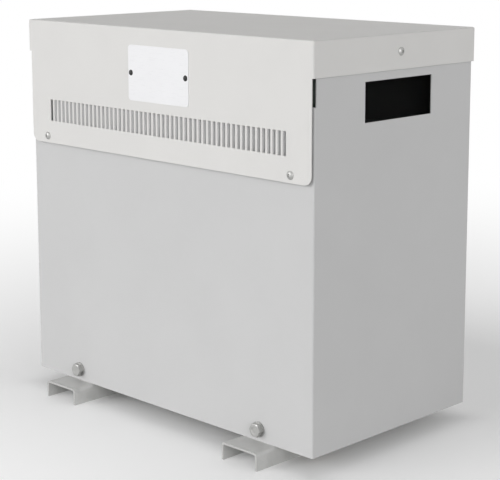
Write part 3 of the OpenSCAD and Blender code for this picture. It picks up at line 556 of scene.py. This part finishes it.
def galvanised(name, colour, spangle, cut_end=None):
    """Zinc crystals under a pale bloom, with bright cut ends beyond cut_end from the middle."""
    material, tree, shader, place = new_material(name)
    crystal = add(tree, "ShaderNodeTexVoronoi", {"Vector": place, "Scale": 1.0 / spangle})
    tone = add(tree, "ShaderNodeSeparateColor", {0: crystal.outputs["Color"]}).outputs[0]
    lifted = add(tree, "ShaderNodeMath", {0: tone, 1: 0.4, 2: 0.5}, operation="MULTIPLY_ADD")
    zinc = shade(tree, lifted.outputs[0], colour, spread=0.09)
    pale = [min(1, c * 1.15) for c in colour] + [1]
    bloom = between(tree, noise(tree, place, size=30 * MM, detail=4), low=0.0, high=0.3)
    surface = blend_colour(tree, bloom, zinc, pale)
    if cut_end:
        along = math_node(tree, "ABSOLUTE", split_axes(tree, place)[1])
        bright = math_node(tree, "GREATER_THAN", along, cut_end)
        surface = blend_colour(tree, bright, surface, CUT_STEEL)
    feed(shader, "Base Color", surface)
    feed(shader, "Roughness", between(tree, tone, low=0.42, high=0.56))
    shader.inputs["Metallic"].default_value = 0.3
    emboss(tree, shader, noise(tree, place, size=1.2 * MM, detail=3), depth=0.02 * MM, strength=0.5)
    return material


def plated(name, colour, roughness=0.3):
    """Zinc plating with fine scratches."""
    material, tree, shader, place = new_material(name)
    scratch = noise(tree, place, size=0.9 * MM, detail=3, stretch=(1, 1, 3))
    cloud = noise(tree, place, size=6 * MM, detail=3)
    feed(shader, "Base Color", shade(tree, cloud, colour, spread=0.08))
    feed(shader, "Roughness", between(tree, scratch, low=roughness - 0.06, high=roughness + 0.1))
    shader.inputs["Metallic"].default_value = 0.9
    emboss(tree, shader, scratch, depth=0.01 * MM, strength=0.5)
    return material


def primer(name, colour):
    """Dull paint on the frame."""
    material, tree, shader, place = new_material(name)
    cloud = noise(tree, place, size=30 * MM, detail=4)
    feed(shader, "Base Color", shade(tree, cloud, colour, spread=0.2))
    patches = noise(tree, place, size=8 * MM, detail=3)
    feed(shader, "Roughness", between(tree, patches, low=0.45, high=0.62))
    emboss(tree, shader, noise(tree, place, size=1.2 * MM), depth=0.03 * MM, strength=0.5)
    return material


def core_sheet(name, colour, pitch):
    """Fine lines of the sheet edges along the stack's depth, under stained varnish."""
    material, tree, shader, place = new_material(name)
    lines = noise(tree, place, size=pitch, stretch=(0.004, 1, 0.004))
    stain = between(tree, noise(tree, place, size=40 * MM, detail=4), low=0.0, high=0.35)
    steel = shade(tree, lines, colour, spread=0.35)
    feed(shader, "Base Color", blend_colour(tree, stain, steel, VARNISH))
    feed(shader, "Roughness", between(tree, lines, low=0.35, high=0.55))
    shader.inputs["Metallic"].default_value = 0.45
    shader.inputs["Coat Weight"].default_value = 0.25
    emboss(tree, shader, lines, depth=0.1 * MM, strength=0.6)
    return material


def wound_tape(name, colour, pitch):
    """Lapped tape that rises round the winding, soaked in varnish."""
    material, tree, shader, place = new_material(name)
    lap = math_node(tree, "FRACT", math_node(tree, "DIVIDE", split_axes(tree, place)[2], pitch))
    weave = noise(tree, place, size=1.1 * MM)
    height = math_node(tree, "ADD", lap, math_node(tree, "MULTIPLY", weave, 0.25))
    stain = noise(tree, place, size=20 * MM, detail=4)
    feed(shader, "Base Color", shade(tree, stain, colour, spread=0.3))
    feed(shader, "Roughness", between(tree, weave, low=0.28, high=0.45))
    shader.inputs["Coat Weight"].default_value = 0.35
    shader.inputs["Coat Roughness"].default_value = 0.2
    emboss(tree, shader, height, depth=0.4 * MM, strength=0.7)
    return material


def copper_foil(name, colour):
    """Tarnished copper with the lines of its rolling."""
    material, tree, shader, place = new_material(name)
    tarnish = noise(tree, place, size=20 * MM, detail=4)
    rolled = noise(tree, place, size=0.8 * MM, stretch=(1, 1, 0.05))
    feed(shader, "Base Color", shade(tree, tarnish, colour, spread=0.22))
    feed(shader, "Roughness", between(tree, rolled, low=0.28, high=0.42))
    shader.inputs["Metallic"].default_value = 0.95
    emboss(tree, shader, rolled, depth=0.02 * MM, strength=0.5)
    return material


def pressboard(name, colour):
    """Board with upright fibres."""
    material, tree, shader, place = new_material(name)
    fibre = noise(tree, place, size=1.2 * MM, detail=4, stretch=(1, 1, 0.2))
    feed(shader, "Base Color", shade(tree, fibre, colour, spread=0.18))
    feed(shader, "Roughness", between(tree, fibre, low=0.55, high=0.7))
    emboss(tree, shader, fibre, depth=0.06 * MM, strength=0.6)
    return material


def moulded(name, colour, roughness=0.45, grain=0.7 * MM):
    """Plastic or rubber with a fine grain."""
    material, tree, shader, place = new_material(name)
    cloud = noise(tree, place, size=15 * MM, detail=3)
    feed(shader, "Base Color", shade(tree, cloud, colour, spread=0.05))
    fine = noise(tree, place, size=grain)
    feed(shader, "Roughness", between(tree, fine, low=roughness - 0.05, high=roughness + 0.07))
    emboss(tree, shader, fine, depth=0.02 * MM, strength=0.5)
    return material


def white_plate(name, colour):
    """Smooth coat with faint brushed lines along the plate."""
    material, tree, shader, place = new_material(name)
    cloud = noise(tree, place, size=50 * MM)
    feed(shader, "Base Color", shade(tree, cloud, colour, spread=0.008))
    brushed = noise(tree, place, size=0.6 * MM, stretch=(0.03, 1, 1))
    feed(shader, "Roughness", between(tree, brushed, low=0.26, high=0.34))
    emboss(tree, shader, brushed, depth=0.008 * MM, strength=0.4)
    return material


class TRANSFORMER_OT_case(bpy.types.Operator):
    """Coat the case and rear panel, with painted shade on their inner faces, and round their cut
    edges
    """

    bl_idname = "transformer.case"
    bl_label = "Case and rear panel"

    def execute(self, context):
        finish = context.scene.transformer_sheet
        low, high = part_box("case_wrap")
        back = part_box("rear_panel")[0].y
        # Painted shade on the faces inside the case and on the rear panel's inner face
        inside_case = (high.x - INNER_FACE, low.y + INNER_FACE, back - INNER_FACE, FAR)
        coat = powder_coat("case coat", finish.case_colour, finish, inside_case)
        wrap = rounded_copy("case_wrap", "case_sheet", finish.edge_round)
        fit_in(wrap, "case_wrap", coat)
        before_panel = (FAR, -FAR, back + SKIN, FAR)
        panel_coat = powder_coat("rear panel coat", finish.case_colour, finish, before_panel)
        panel = rounded_copy("rear_panel", "rear_sheet", finish.edge_round)
        fit_in(panel, "rear_panel", panel_coat)
        return {"FINISHED"}


class TRANSFORMER_OT_hood(bpy.types.Operator):
    """Coat the hood, with painted shade on its inner faces, and round the edges of its slots and
    flanges
    """

    bl_idname = "transformer.hood"
    bl_label = "Hood"

    def execute(self, context):
        finish = context.scene.transformer_sheet
        low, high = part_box("hood")
        # Painted shade on the faces inside the hood
        inside_hood = (high.x - INNER_FACE, low.y + INNER_FACE, high.y - INNER_FACE,
                       high.z - INNER_FACE)
        coat = powder_coat("hood coat", finish.hood_colour, finish, inside_hood)
        hood = rounded_copy("hood", "hood_sheet", finish.edge_round)
        fit_in(hood, "hood", coat)
        return {"FINISHED"}


class TRANSFORMER_OT_nameplate(bpy.types.Operator):
    """Make the blank nameplate and its two rivets"""

    bl_idname = "transformer.nameplate"
    bl_label = "Nameplate"

    def execute(self, context):
        finish = context.scene.transformer_plate
        low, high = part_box("nameplate")
        bpy.ops.mesh.primitive_cube_add(size=1, location=(low + high) / 2)
        plate = start_piece("blank_plate")
        plate.scale = high - low
        settle(plate)
        bpy.ops.object.mode_set(mode="EDIT")
        choose(plate, "edges", runs_along(1))
        bpy.ops.mesh.bevel(offset=finish.corner, segments=8, affect="EDGES")
        bpy.ops.object.mode_set(mode="OBJECT")
        round_edges(plate, width=0.2 * MM, segments=3)
        fit_in(plate, "nameplate", white_plate("plate coat", finish.colour))
        self.rivets(finish, low.y)
        return {"FINISHED"}

    def rivets(self, finish, front):
        """Domed heads whose shanks end in the plate."""
        low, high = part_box("nameplate_rivets")
        radius = RIVET_WIDTH / 2
        head = start_cap("rivet", radius, height=front - low.y, base=0, rim=0.5 * MM,
                         segments=32, rings=48)
        bpy.ops.object.mode_set(mode="OBJECT")
        smooth(head)
        z = (low.z + high.z) / 2
        places = [((QUARTER, 0, 0), (x, front, z)) for x in end_pair(low, high, radius)]
        rivets = put_round(head, "plate_rivets", places)
        black = moulded("black rivet", finish.rivet_colour, roughness=0.5)
        fit_in(rivets, "nameplate_rivets", black)


class TRANSFORMER_OT_hood_screws(bpy.types.Operator):
    """Model the button-head screws of the hood, with hexagon sockets"""

    bl_idname = "transformer.hood_screws"
    bl_label = "Hood screws"

    def execute(self, context):
        finish = context.scene.transformer_metal
        metal = plated("plated screws", finish.zinc_colour, roughness=0.42)
        hood_low, hood_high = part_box("hood")
        low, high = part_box("hood_front_screws")
        radius = SCREW_HEAD_WIDTH / 2
        height = hood_low.y - low.y
        z = (low.z + high.z) / 2
        front = [((QUARTER, 0, 0), (x, hood_low.y, z)) for x in end_pair(low, high, radius)]
        front_screws = put_round(self.button(radius, height), "front_hood_screws", front)
        fit_in(front_screws, "hood_front_screws", metal)
        low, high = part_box("hood_side_screws")
        y = (low.y + high.y) / 2
        z = (low.z + high.z) / 2
        sides = [((QUARTER, 0, QUARTER), (hood_high.x, y, z)),
                 ((QUARTER, 0, -QUARTER), (hood_low.x, y, z))]
        side_screws = put_round(self.button(radius, height), "side_hood_screws", sides)
        fit_in(side_screws, "hood_side_screws", metal)
        return {"FINISHED"}

    def button(self, radius, height):
        """A domed head on a low rim, with its shank and a hexagon socket half its height deep."""
        rim = 0.15 * height
        shank_radius = 0.5 * radius
        shank_length = 6 * MM
        socket_radius = 0.39 * radius
        socket_middle = 1.02 * height
        head = start_cap("button_head", radius, height, base=rim, rim=rim, segments=48, rings=64)
        bpy.ops.mesh.inset(thickness=radius - shank_radius)
        draw_out(-shank_length)
        bpy.ops.object.mode_set(mode="OBJECT")
        bpy.ops.mesh.primitive_cylinder_add(vertices=6, radius=socket_radius, depth=height,
                                            location=(0, 0, socket_middle))
        cut(head, start_piece("socket"))
        smooth(head)
        return head


class TRANSFORMER_OT_rear_screws(bpy.types.Operator):
    """Model the pan-head screws of the rear panel, with cross recesses"""

    bl_idname = "transformer.rear_screws"
    bl_label = "Rear panel screws"

    def execute(self, context):
        finish = context.scene.transformer_metal
        metal = plated("plated rear screws", finish.zinc_colour, roughness=0.38)
        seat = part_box("rear_panel")[1].y
        boxes = solid_boxes("rear_panel_screws")
        low, high = boxes[0]
        head = self.pan_head((high.x - low.x) / 2, high.y - seat, seat - low.y)
        turn = (-QUARTER, 0, 0)
        places = [(turn, ((a.x + b.x) / 2, seat, (a.z + b.z) / 2)) for a, b in boxes]
        screws = put_round(head, "rear_screws", places)
        fit_in(screws, "rear_panel_screws", metal)
        return {"FINISHED"}

    def pan_head(self, radius, height, length):
        """A crowned head with a cross recess, on its shank."""
        crown = 0.62 * height
        crown_profile = 0.62
        shank_radius = 0.45 * radius
        blade_foot = 0.3 * radius
        blade_top = 0.85 * radius
        blade_depth = 0.8 * height
        blade_middle = 0.65 * height
        blade_width = 0.22
        bpy.ops.mesh.primitive_cylinder_add(vertices=48, radius=radius, depth=height,
                                            location=(0, 0, height / 2))
        head = start_piece("pan_head")
        settle(head)
        bpy.ops.object.mode_set(mode="EDIT")
        choose(head, "faces", looks_up)
        bpy.ops.mesh.bevel(offset=crown, segments=6, profile=crown_profile, affect="EDGES")
        choose(head, "faces", looks_down)
        bpy.ops.mesh.inset(thickness=radius - shank_radius)
        draw_out(-length)
        bpy.ops.object.mode_set(mode="OBJECT")
        for angle in (0, QUARTER):
            bpy.ops.mesh.primitive_cone_add(vertices=4, radius1=blade_foot, radius2=blade_top,
                                            depth=blade_depth, location=(0, 0, blade_middle),
                                            rotation=(0, 0, QUARTER / 2))
            blade = start_piece("recess")
            settle(blade)
            blade.scale = (blade_width, 1, 1)
            blade.rotation_euler = (0, 0, angle)
            settle(blade)
            cut(head, blade)
        smooth(head)
        return head


class TRANSFORMER_OT_base_bolts(bpy.types.Operator):
    """Model the chamfered base bolts and their washers"""

    bl_idname = "transformer.base_bolts"
    bl_label = "Base bolts and washers"

    def execute(self, context):
        finish = context.scene.transformer_metal
        metal = plated("plated bolts", finish.zinc_colour, roughness=0.42)
        flat = plated("plated washers", finish.zinc_colour, roughness=0.46)
        low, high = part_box("base_washers")
        radius = WASHER_WIDTH / 2
        z = (low.z + high.z) / 2
        xs = end_pair(low, high, radius)
        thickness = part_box("case_wrap")[0].y - low.y
        places = front_and_rear(xs, low.y + thickness, high.y - thickness, z)
        washers = put_round(self.washer(radius, thickness), "bolt_washers", places)
        fit_in(washers, "base_washers", flat)
        height = low.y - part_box("base_bolts")[0].y
        seats = front_and_rear(xs, low.y, high.y, z)
        bolts = put_round(self.hex_head(BOLT_FLATS, height), "foot_bolts", seats)
        fit_in(bolts, "base_bolts", metal)
        return {"FINISHED"}

    def washer(self, radius, thickness):
        """A flat ring with rounded edges."""
        bore_radius = 0.52 * radius
        bpy.ops.mesh.primitive_cylinder_add(vertices=64, radius=radius, depth=thickness,
                                            location=(0, 0, thickness / 2))
        ring = start_piece("washer")
        settle(ring)
        bpy.ops.mesh.primitive_cylinder_add(vertices=48, radius=bore_radius, depth=3 * thickness)
        cut(ring, start_piece("washer_bore"))
        round_edges(ring, width=0.3 * MM)
        return ring

    def hex_head(self, flats, height):
        """A hexagon with rounded edges, a coned chamfer and a shallow recess, on its shank."""
        spare = 1 * MM
        upright_round = 0.3 * MM
        half_corner = math.radians(30)
        chamfer_slope = math.radians(30)
        chamfer_top = 0.475 * flats
        rim = 0.2 * flats
        recess_wall = 0.5 * MM
        recess_depth = 0.4 * MM
        shank_radius = 0.3 * flats
        shank_length = 20 * MM
        shank_middle = -9 * MM
        deep = height + spare
        spread = deep / math.tan(chamfer_slope)
        corner_radius = flats / 2 / math.cos(half_corner)
        bpy.ops.mesh.primitive_cylinder_add(vertices=6, radius=corner_radius, depth=deep,
                                            location=(0, 0, deep / 2), rotation=(0, 0, QUARTER))
        head = start_piece("hex_head")
        settle(head)
        bpy.ops.object.mode_set(mode="EDIT")
        choose(head, "edges", runs_along(2))
        bpy.ops.mesh.bevel(offset=upright_round, segments=3, affect="EDGES")
        bpy.ops.object.mode_set(mode="OBJECT")
        bpy.ops.mesh.primitive_cone_add(vertices=96, radius1=chamfer_top + spread,
                                        radius2=chamfer_top, depth=deep,
                                        location=(0, 0, height - deep / 2))
        cut(head, start_piece("chamfer"), "INTERSECT")
        pick(head)
        bpy.ops.object.mode_set(mode="EDIT")
        choose(head, "faces", looks_up)
        bpy.ops.mesh.inset(thickness=rim)
        bpy.ops.mesh.inset(thickness=recess_wall)
        bpy.ops.transform.translate(value=(0, 0, -recess_depth))
        bpy.ops.object.mode_set(mode="OBJECT")
        bpy.ops.mesh.primitive_cylinder_add(vertices=32, radius=shank_radius, depth=shank_length,
                                            location=(0, 0, shank_middle))
        cut(head, start_piece("shank"), "UNION")
        smooth(head, angle=math.radians(20))
        even_normals(head)
        return head


class TRANSFORMER_OT_feet(bpy.types.Operator):
    """Round and finish the galvanised feet, tray, crossbar and rail"""

    bl_idname = "transformer.feet"
    bl_label = "Feet and tray"

    def execute(self, context):
        finish = context.scene.transformer_metal
        edge = context.scene.transformer_sheet.edge_round
        end_depth = 0.4 * MM
        cut_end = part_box("foot_left")[1].y - end_depth
        foot_zinc = galvanised("foot zinc", finish.galvanised_colour, finish.spangle, cut_end)
        for node, name in (("foot_left", "left_channel"), ("foot_right", "right_channel")):
            foot = rounded_copy(node, name, edge)
            fit_in(foot, node, foot_zinc)
        zinc = galvanised("sheet zinc", finish.galvanised_colour, finish.spangle)
        soften(("base_tray", "rear_crossbar", "terminal_rail"), zinc, edge)
        return {"FINISHED"}


class TRANSFORMER_OT_small_parts(bpy.types.Operator):
    """Finish the hidden fasteners, the earth stud, and the painted bars, clamps and posts"""

    bl_idname = "transformer.small_parts"
    bl_label = "Small parts"

    def execute(self, context):
        finish = context.scene.transformer_metal
        zinc = plated("plated small parts", finish.zinc_colour)
        for node in ("skirt_spacers", "base_nuts", "crossbar_rivets", "mounting_bolts",
                     "mounting_nuts", "tie_bolts", "tie_bolt_nuts", "post_screws"):
            dress(node, zinc)
        brass = plated("plain brass", finish.brass_colour, roughness=0.34)
        for node in ("blind_nuts", "earth_stud", "earth_nuts"):
            dress(node, brass)
        paint = primer("frame primer", finish.frame_colour)
        bars = ("carrier_bar_left", "carrier_bar_right", "lower_clamp_front", "lower_clamp_rear",
                "upper_clamp_front", "upper_clamp_rear", "terminal_posts")
        soften(bars, paint, width=0.5 * MM)
        return {"FINISHED"}


class TRANSFORMER_OT_core(bpy.types.Operator):
    """Finish the laminated core, its windings, insulation, leads and terminals"""

    bl_idname = "transformer.core"
    bl_label = "Core and windings"

    def execute(self, context):
        finish = context.scene.transformer_inside
        metal = context.scene.transformer_metal
        steel = core_sheet("core sheet", finish.core_colour, finish.lamination)
        stacks = ("lower_yoke", "upper_yoke", "limb_a", "limb_b", "limb_c")
        soften(stacks, steel, width=0.3 * MM)
        tape = wound_tape("winding tape", finish.tape_colour, finish.tape_pitch)
        foil = copper_foil("copper foil", metal.copper_colour)
        board = pressboard("pressboard", finish.board_colour)
        for phase in "abc":
            dress("hv_winding_" + phase, tape)
            dress("lv_winding_" + phase, foil)
            dress("coil_former_" + phase, board)
            dress("duct_sticks_" + phase, board)
        soften(("coil_blocks",), board, width=0.6 * MM)
        soften(("lv_leads",), foil, width=0.4 * MM)
        rubber = moulded("moulded rubber", finish.rubber_colour, roughness=0.7, grain=1.2 * MM)
        dress("core_pads", rubber)
        green = moulded("green terminal", finish.high_colour)
        grey = moulded("grey terminal", finish.low_colour)
        soften(("hv_terminals",), green, width=0.4 * MM)
        soften(("lv_terminals",), grey, width=0.4 * MM)
        dress("hv_leads", moulded("red sleeve", finish.sleeve_colour, roughness=0.5))
        return {"FINISHED"}


class TRANSFORMER_OT_studio(bpy.types.Operator):
    """Set the floor, the lamps and the camera of the photograph"""

    bl_idname = "transformer.studio"
    bl_label = "Studio"

    def execute(self, context):
        studio = context.scene.transformer_studio
        context.scene.view_settings.view_transform = "Standard"
        self.floor(studio)
        self.room(context, studio)
        self.lamp("key lamp", studio.key, towards=(-0.45, -0.80, 0.20), softness=40)
        self.lamp("fill lamp", studio.fill, towards=(0.85, -0.45, 0.15), softness=50)
        rear = self.lamp("rear lamp", studio.rear, towards=(-0.35, 0.93, 0.05), softness=60)
        rear.visible_glossy = False
        self.camera(context, studio)
        return {"FINISHED"}

    def floor(self, studio):
        """A wide round floor with painted shadow round the object, that turns white away from it.
        """
        bpy.ops.mesh.primitive_circle_add(vertices=96, radius=60, fill_type="NGON")
        floor = start_piece("studio_floor")
        material = bpy.data.materials.new("studio floor")
        material.use_nodes = True
        tree = material.node_tree
        tree.nodes.clear()
        amount = math_node(tree, "MULTIPLY", self.seen(tree), self.white_past_painted_shadow(tree, studio))
        plain = add(tree, "ShaderNodeBsdfDiffuse", {"Color": list(studio.floor_colour) + [1]})
        white = add(tree, "ShaderNodeEmission", {"Color": WHITE, "Strength": 1.0})
        mixed = add(tree, "ShaderNodeMixShader", {
            0: amount, 1: plain.outputs[0], 2: white.outputs[0]})
        add(tree, "ShaderNodeOutputMaterial", {"Surface": mixed.outputs[0]})
        floor.data.materials.append(material)

    def white_past_painted_shadow(self, tree, studio):
        """Share of white in the floor, kept low near the object to paint its shadow: none under the
        object, all of it far away.
        """
        clear_start, clear_end = -50 * MM, 45 * MM
        ahead_stretch = 1.8
        fade = 2.0
        axes = split_axes(tree, add(tree, "ShaderNodeTexCoord").outputs["Object"])
        low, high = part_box("case_wrap")
        aside = math_node(tree, "SUBTRACT", math_node(tree, "ABSOLUTE", axes[0]), high.x)
        ahead = math_node(tree, "SUBTRACT", low.y, axes[1])
        behind = math_node(tree, "SUBTRACT", axes[1], high.y)
        outside = math_node(tree, "MAXIMUM", aside, math_node(tree, "MAXIMUM", ahead, behind))
        # Painted contact shadow: no white under the object, fading in across its edge
        clear = add(tree, "ShaderNodeMapRange", {
            "Value": outside, "From Min": clear_start, "From Max": clear_end, "To Min": 0.0,
            "To Max": 1.0,
        }, interpolation_type="SMOOTHSTEP").outputs["Result"]
        # The painted shadow reaches less far in front of the object than behind it
        past = math_node(tree, "MAXIMUM", math_node(tree, "MULTIPLY", ahead, ahead_stretch),
                         math_node(tree, "SUBTRACT", behind, studio.shadow_reach))
        gap = add(tree, "ShaderNodeCombineXYZ", {
            0: math_node(tree, "MAXIMUM", aside, 0.0), 1: math_node(tree, "MAXIMUM", past, 0.0)})
        far = add(tree, "ShaderNodeVectorMath", {0: gap.outputs[0]}, operation="LENGTH")
        reach = math_node(tree, "DIVIDE", far.outputs["Value"], studio.floor_reach)
        share = math_node(tree, "MAXIMUM", math_node(tree, "SUBTRACT", 1.0, reach), 0.0)
        painted_shadow_weight = math_node(tree, "POWER", share, fade)
        # Painted shade beside the object, lightened by the floor lift
        grey = math_node(tree, "MULTIPLY", painted_shadow_weight, 1.0 - studio.floor_lift)
        return math_node(tree, "MULTIPLY", math_node(tree, "SUBTRACT", 1.0, grey), clear)

    def seen(self, tree):
        """1 for what the camera sees, straight or mirrored in metal."""
        path = add(tree, "ShaderNodeLightPath").outputs
        return math_node(tree, "MAXIMUM", path["Is Camera Ray"], path["Is Glossy Ray"])

    def room(self, context, studio):
        """Even light from all round, seen as white."""
        world = bpy.data.worlds.new("studio room")
        context.scene.world = world
        world.use_nodes = True
        tree = world.node_tree
        tree.nodes.clear()
        light = add(tree, "ShaderNodeBackground", {"Color": WHITE, "Strength": studio.sky})
        white = add(tree, "ShaderNodeBackground", {"Color": WHITE, "Strength": 1.0})
        mixed = add(tree, "ShaderNodeMixShader", {
            0: self.seen(tree), 1: light.outputs[0], 2: white.outputs[0]})
        add(tree, "ShaderNodeOutputWorld", {"Surface": mixed.outputs[0]})

    def lamp(self, name, strength, towards, softness):
        """A far lamp in this direction, as wide in the sky as its softness in degrees."""
        bpy.ops.object.light_add(type="SUN", location=[2 * t for t in towards])
        lamp = bpy.context.object
        lamp.name = name
        lamp.data.energy = strength
        lamp.data.angle = math.radians(softness)
        lamp.rotation_mode = "QUATERNION"
        lamp.rotation_quaternion = Vector(towards).to_track_quat("Z", "Y")
        return lamp

    def camera(self, context, studio):
        """The camera that was fitted to the photograph."""
        turn, rise = studio.camera_turn, studio.camera_rise
        level = math.cos(rise)
        back = Vector((math.sin(turn) * level, -math.cos(turn) * level, math.sin(rise)))
        bpy.ops.object.camera_add(location=studio.camera_place)
        camera = bpy.context.object
        camera.name = "camera"
        camera.rotation_mode = "QUATERNION"
        camera.rotation_quaternion = (-back).to_track_quat("-Z", "Y")
        camera.rotation_mode = "XYZ"
        camera.rotation_euler.rotate_axis("Z", studio.camera_roll)
        camera.data.sensor_width = 36
        camera.data.lens = studio.lens
        camera.data.shift_y = studio.shift
        camera.data.clip_start = 0.01
        camera.data.clip_end = 200
        context.scene.camera = camera


STEPS = (
    TRANSFORMER_OT_case, TRANSFORMER_OT_hood, TRANSFORMER_OT_nameplate,
    TRANSFORMER_OT_hood_screws, TRANSFORMER_OT_rear_screws, TRANSFORMER_OT_base_bolts,
    TRANSFORMER_OT_feet, TRANSFORMER_OT_small_parts, TRANSFORMER_OT_core, TRANSFORMER_OT_studio,
)
GROUPS = (("transformer_sheet", SheetFinish), ("transformer_plate", PlateFinish),
          ("transformer_metal", MetalFinish), ("transformer_inside", InsideFinish),
          ("transformer_studio", Studio))


class TRANSFORMER_PT_panel(bpy.types.Panel):
    """Lists the finishes, the studio and the steps that dress the transformer"""

    bl_label = "Transformer"
    bl_idname = "TRANSFORMER_PT_panel"
    bl_space_type = "VIEW_3D"
    bl_region_type = "UI"
    bl_category = "Transformer"

    def draw(self, context):
        for step in STEPS:
            self.layout.operator(step.bl_idname)
        for name, group in GROUPS:
            box = self.layout.box()
            for key in group.__annotations__:
                box.prop(getattr(context.scene, name), key)


def register():
    for name, group in GROUPS:
        bpy.utils.register_class(group)
        setattr(bpy.types.Scene, name, bpy.props.PointerProperty(type=group))
    for step in STEPS:
        bpy.utils.register_class(step)
    bpy.utils.register_class(TRANSFORMER_PT_panel)


def unregister():
    bpy.utils.unregister_class(TRANSFORMER_PT_panel)
    for step in reversed(STEPS):
        bpy.utils.unregister_class(step)
    for name, group in reversed(GROUPS):
        delattr(bpy.types.Scene, name)
        bpy.utils.unregister_class(group)


def main():
    register()
    bpy.ops.transformer.case()
    bpy.ops.transformer.hood()
    bpy.ops.transformer.nameplate()
    bpy.ops.transformer.hood_screws()
    bpy.ops.transformer.rear_screws()
    bpy.ops.transformer.base_bolts()
    bpy.ops.transformer.feet()
    bpy.ops.transformer.small_parts()
    bpy.ops.transformer.core()
    bpy.ops.transformer.studio()


if __name__ == "__main__":
    main()
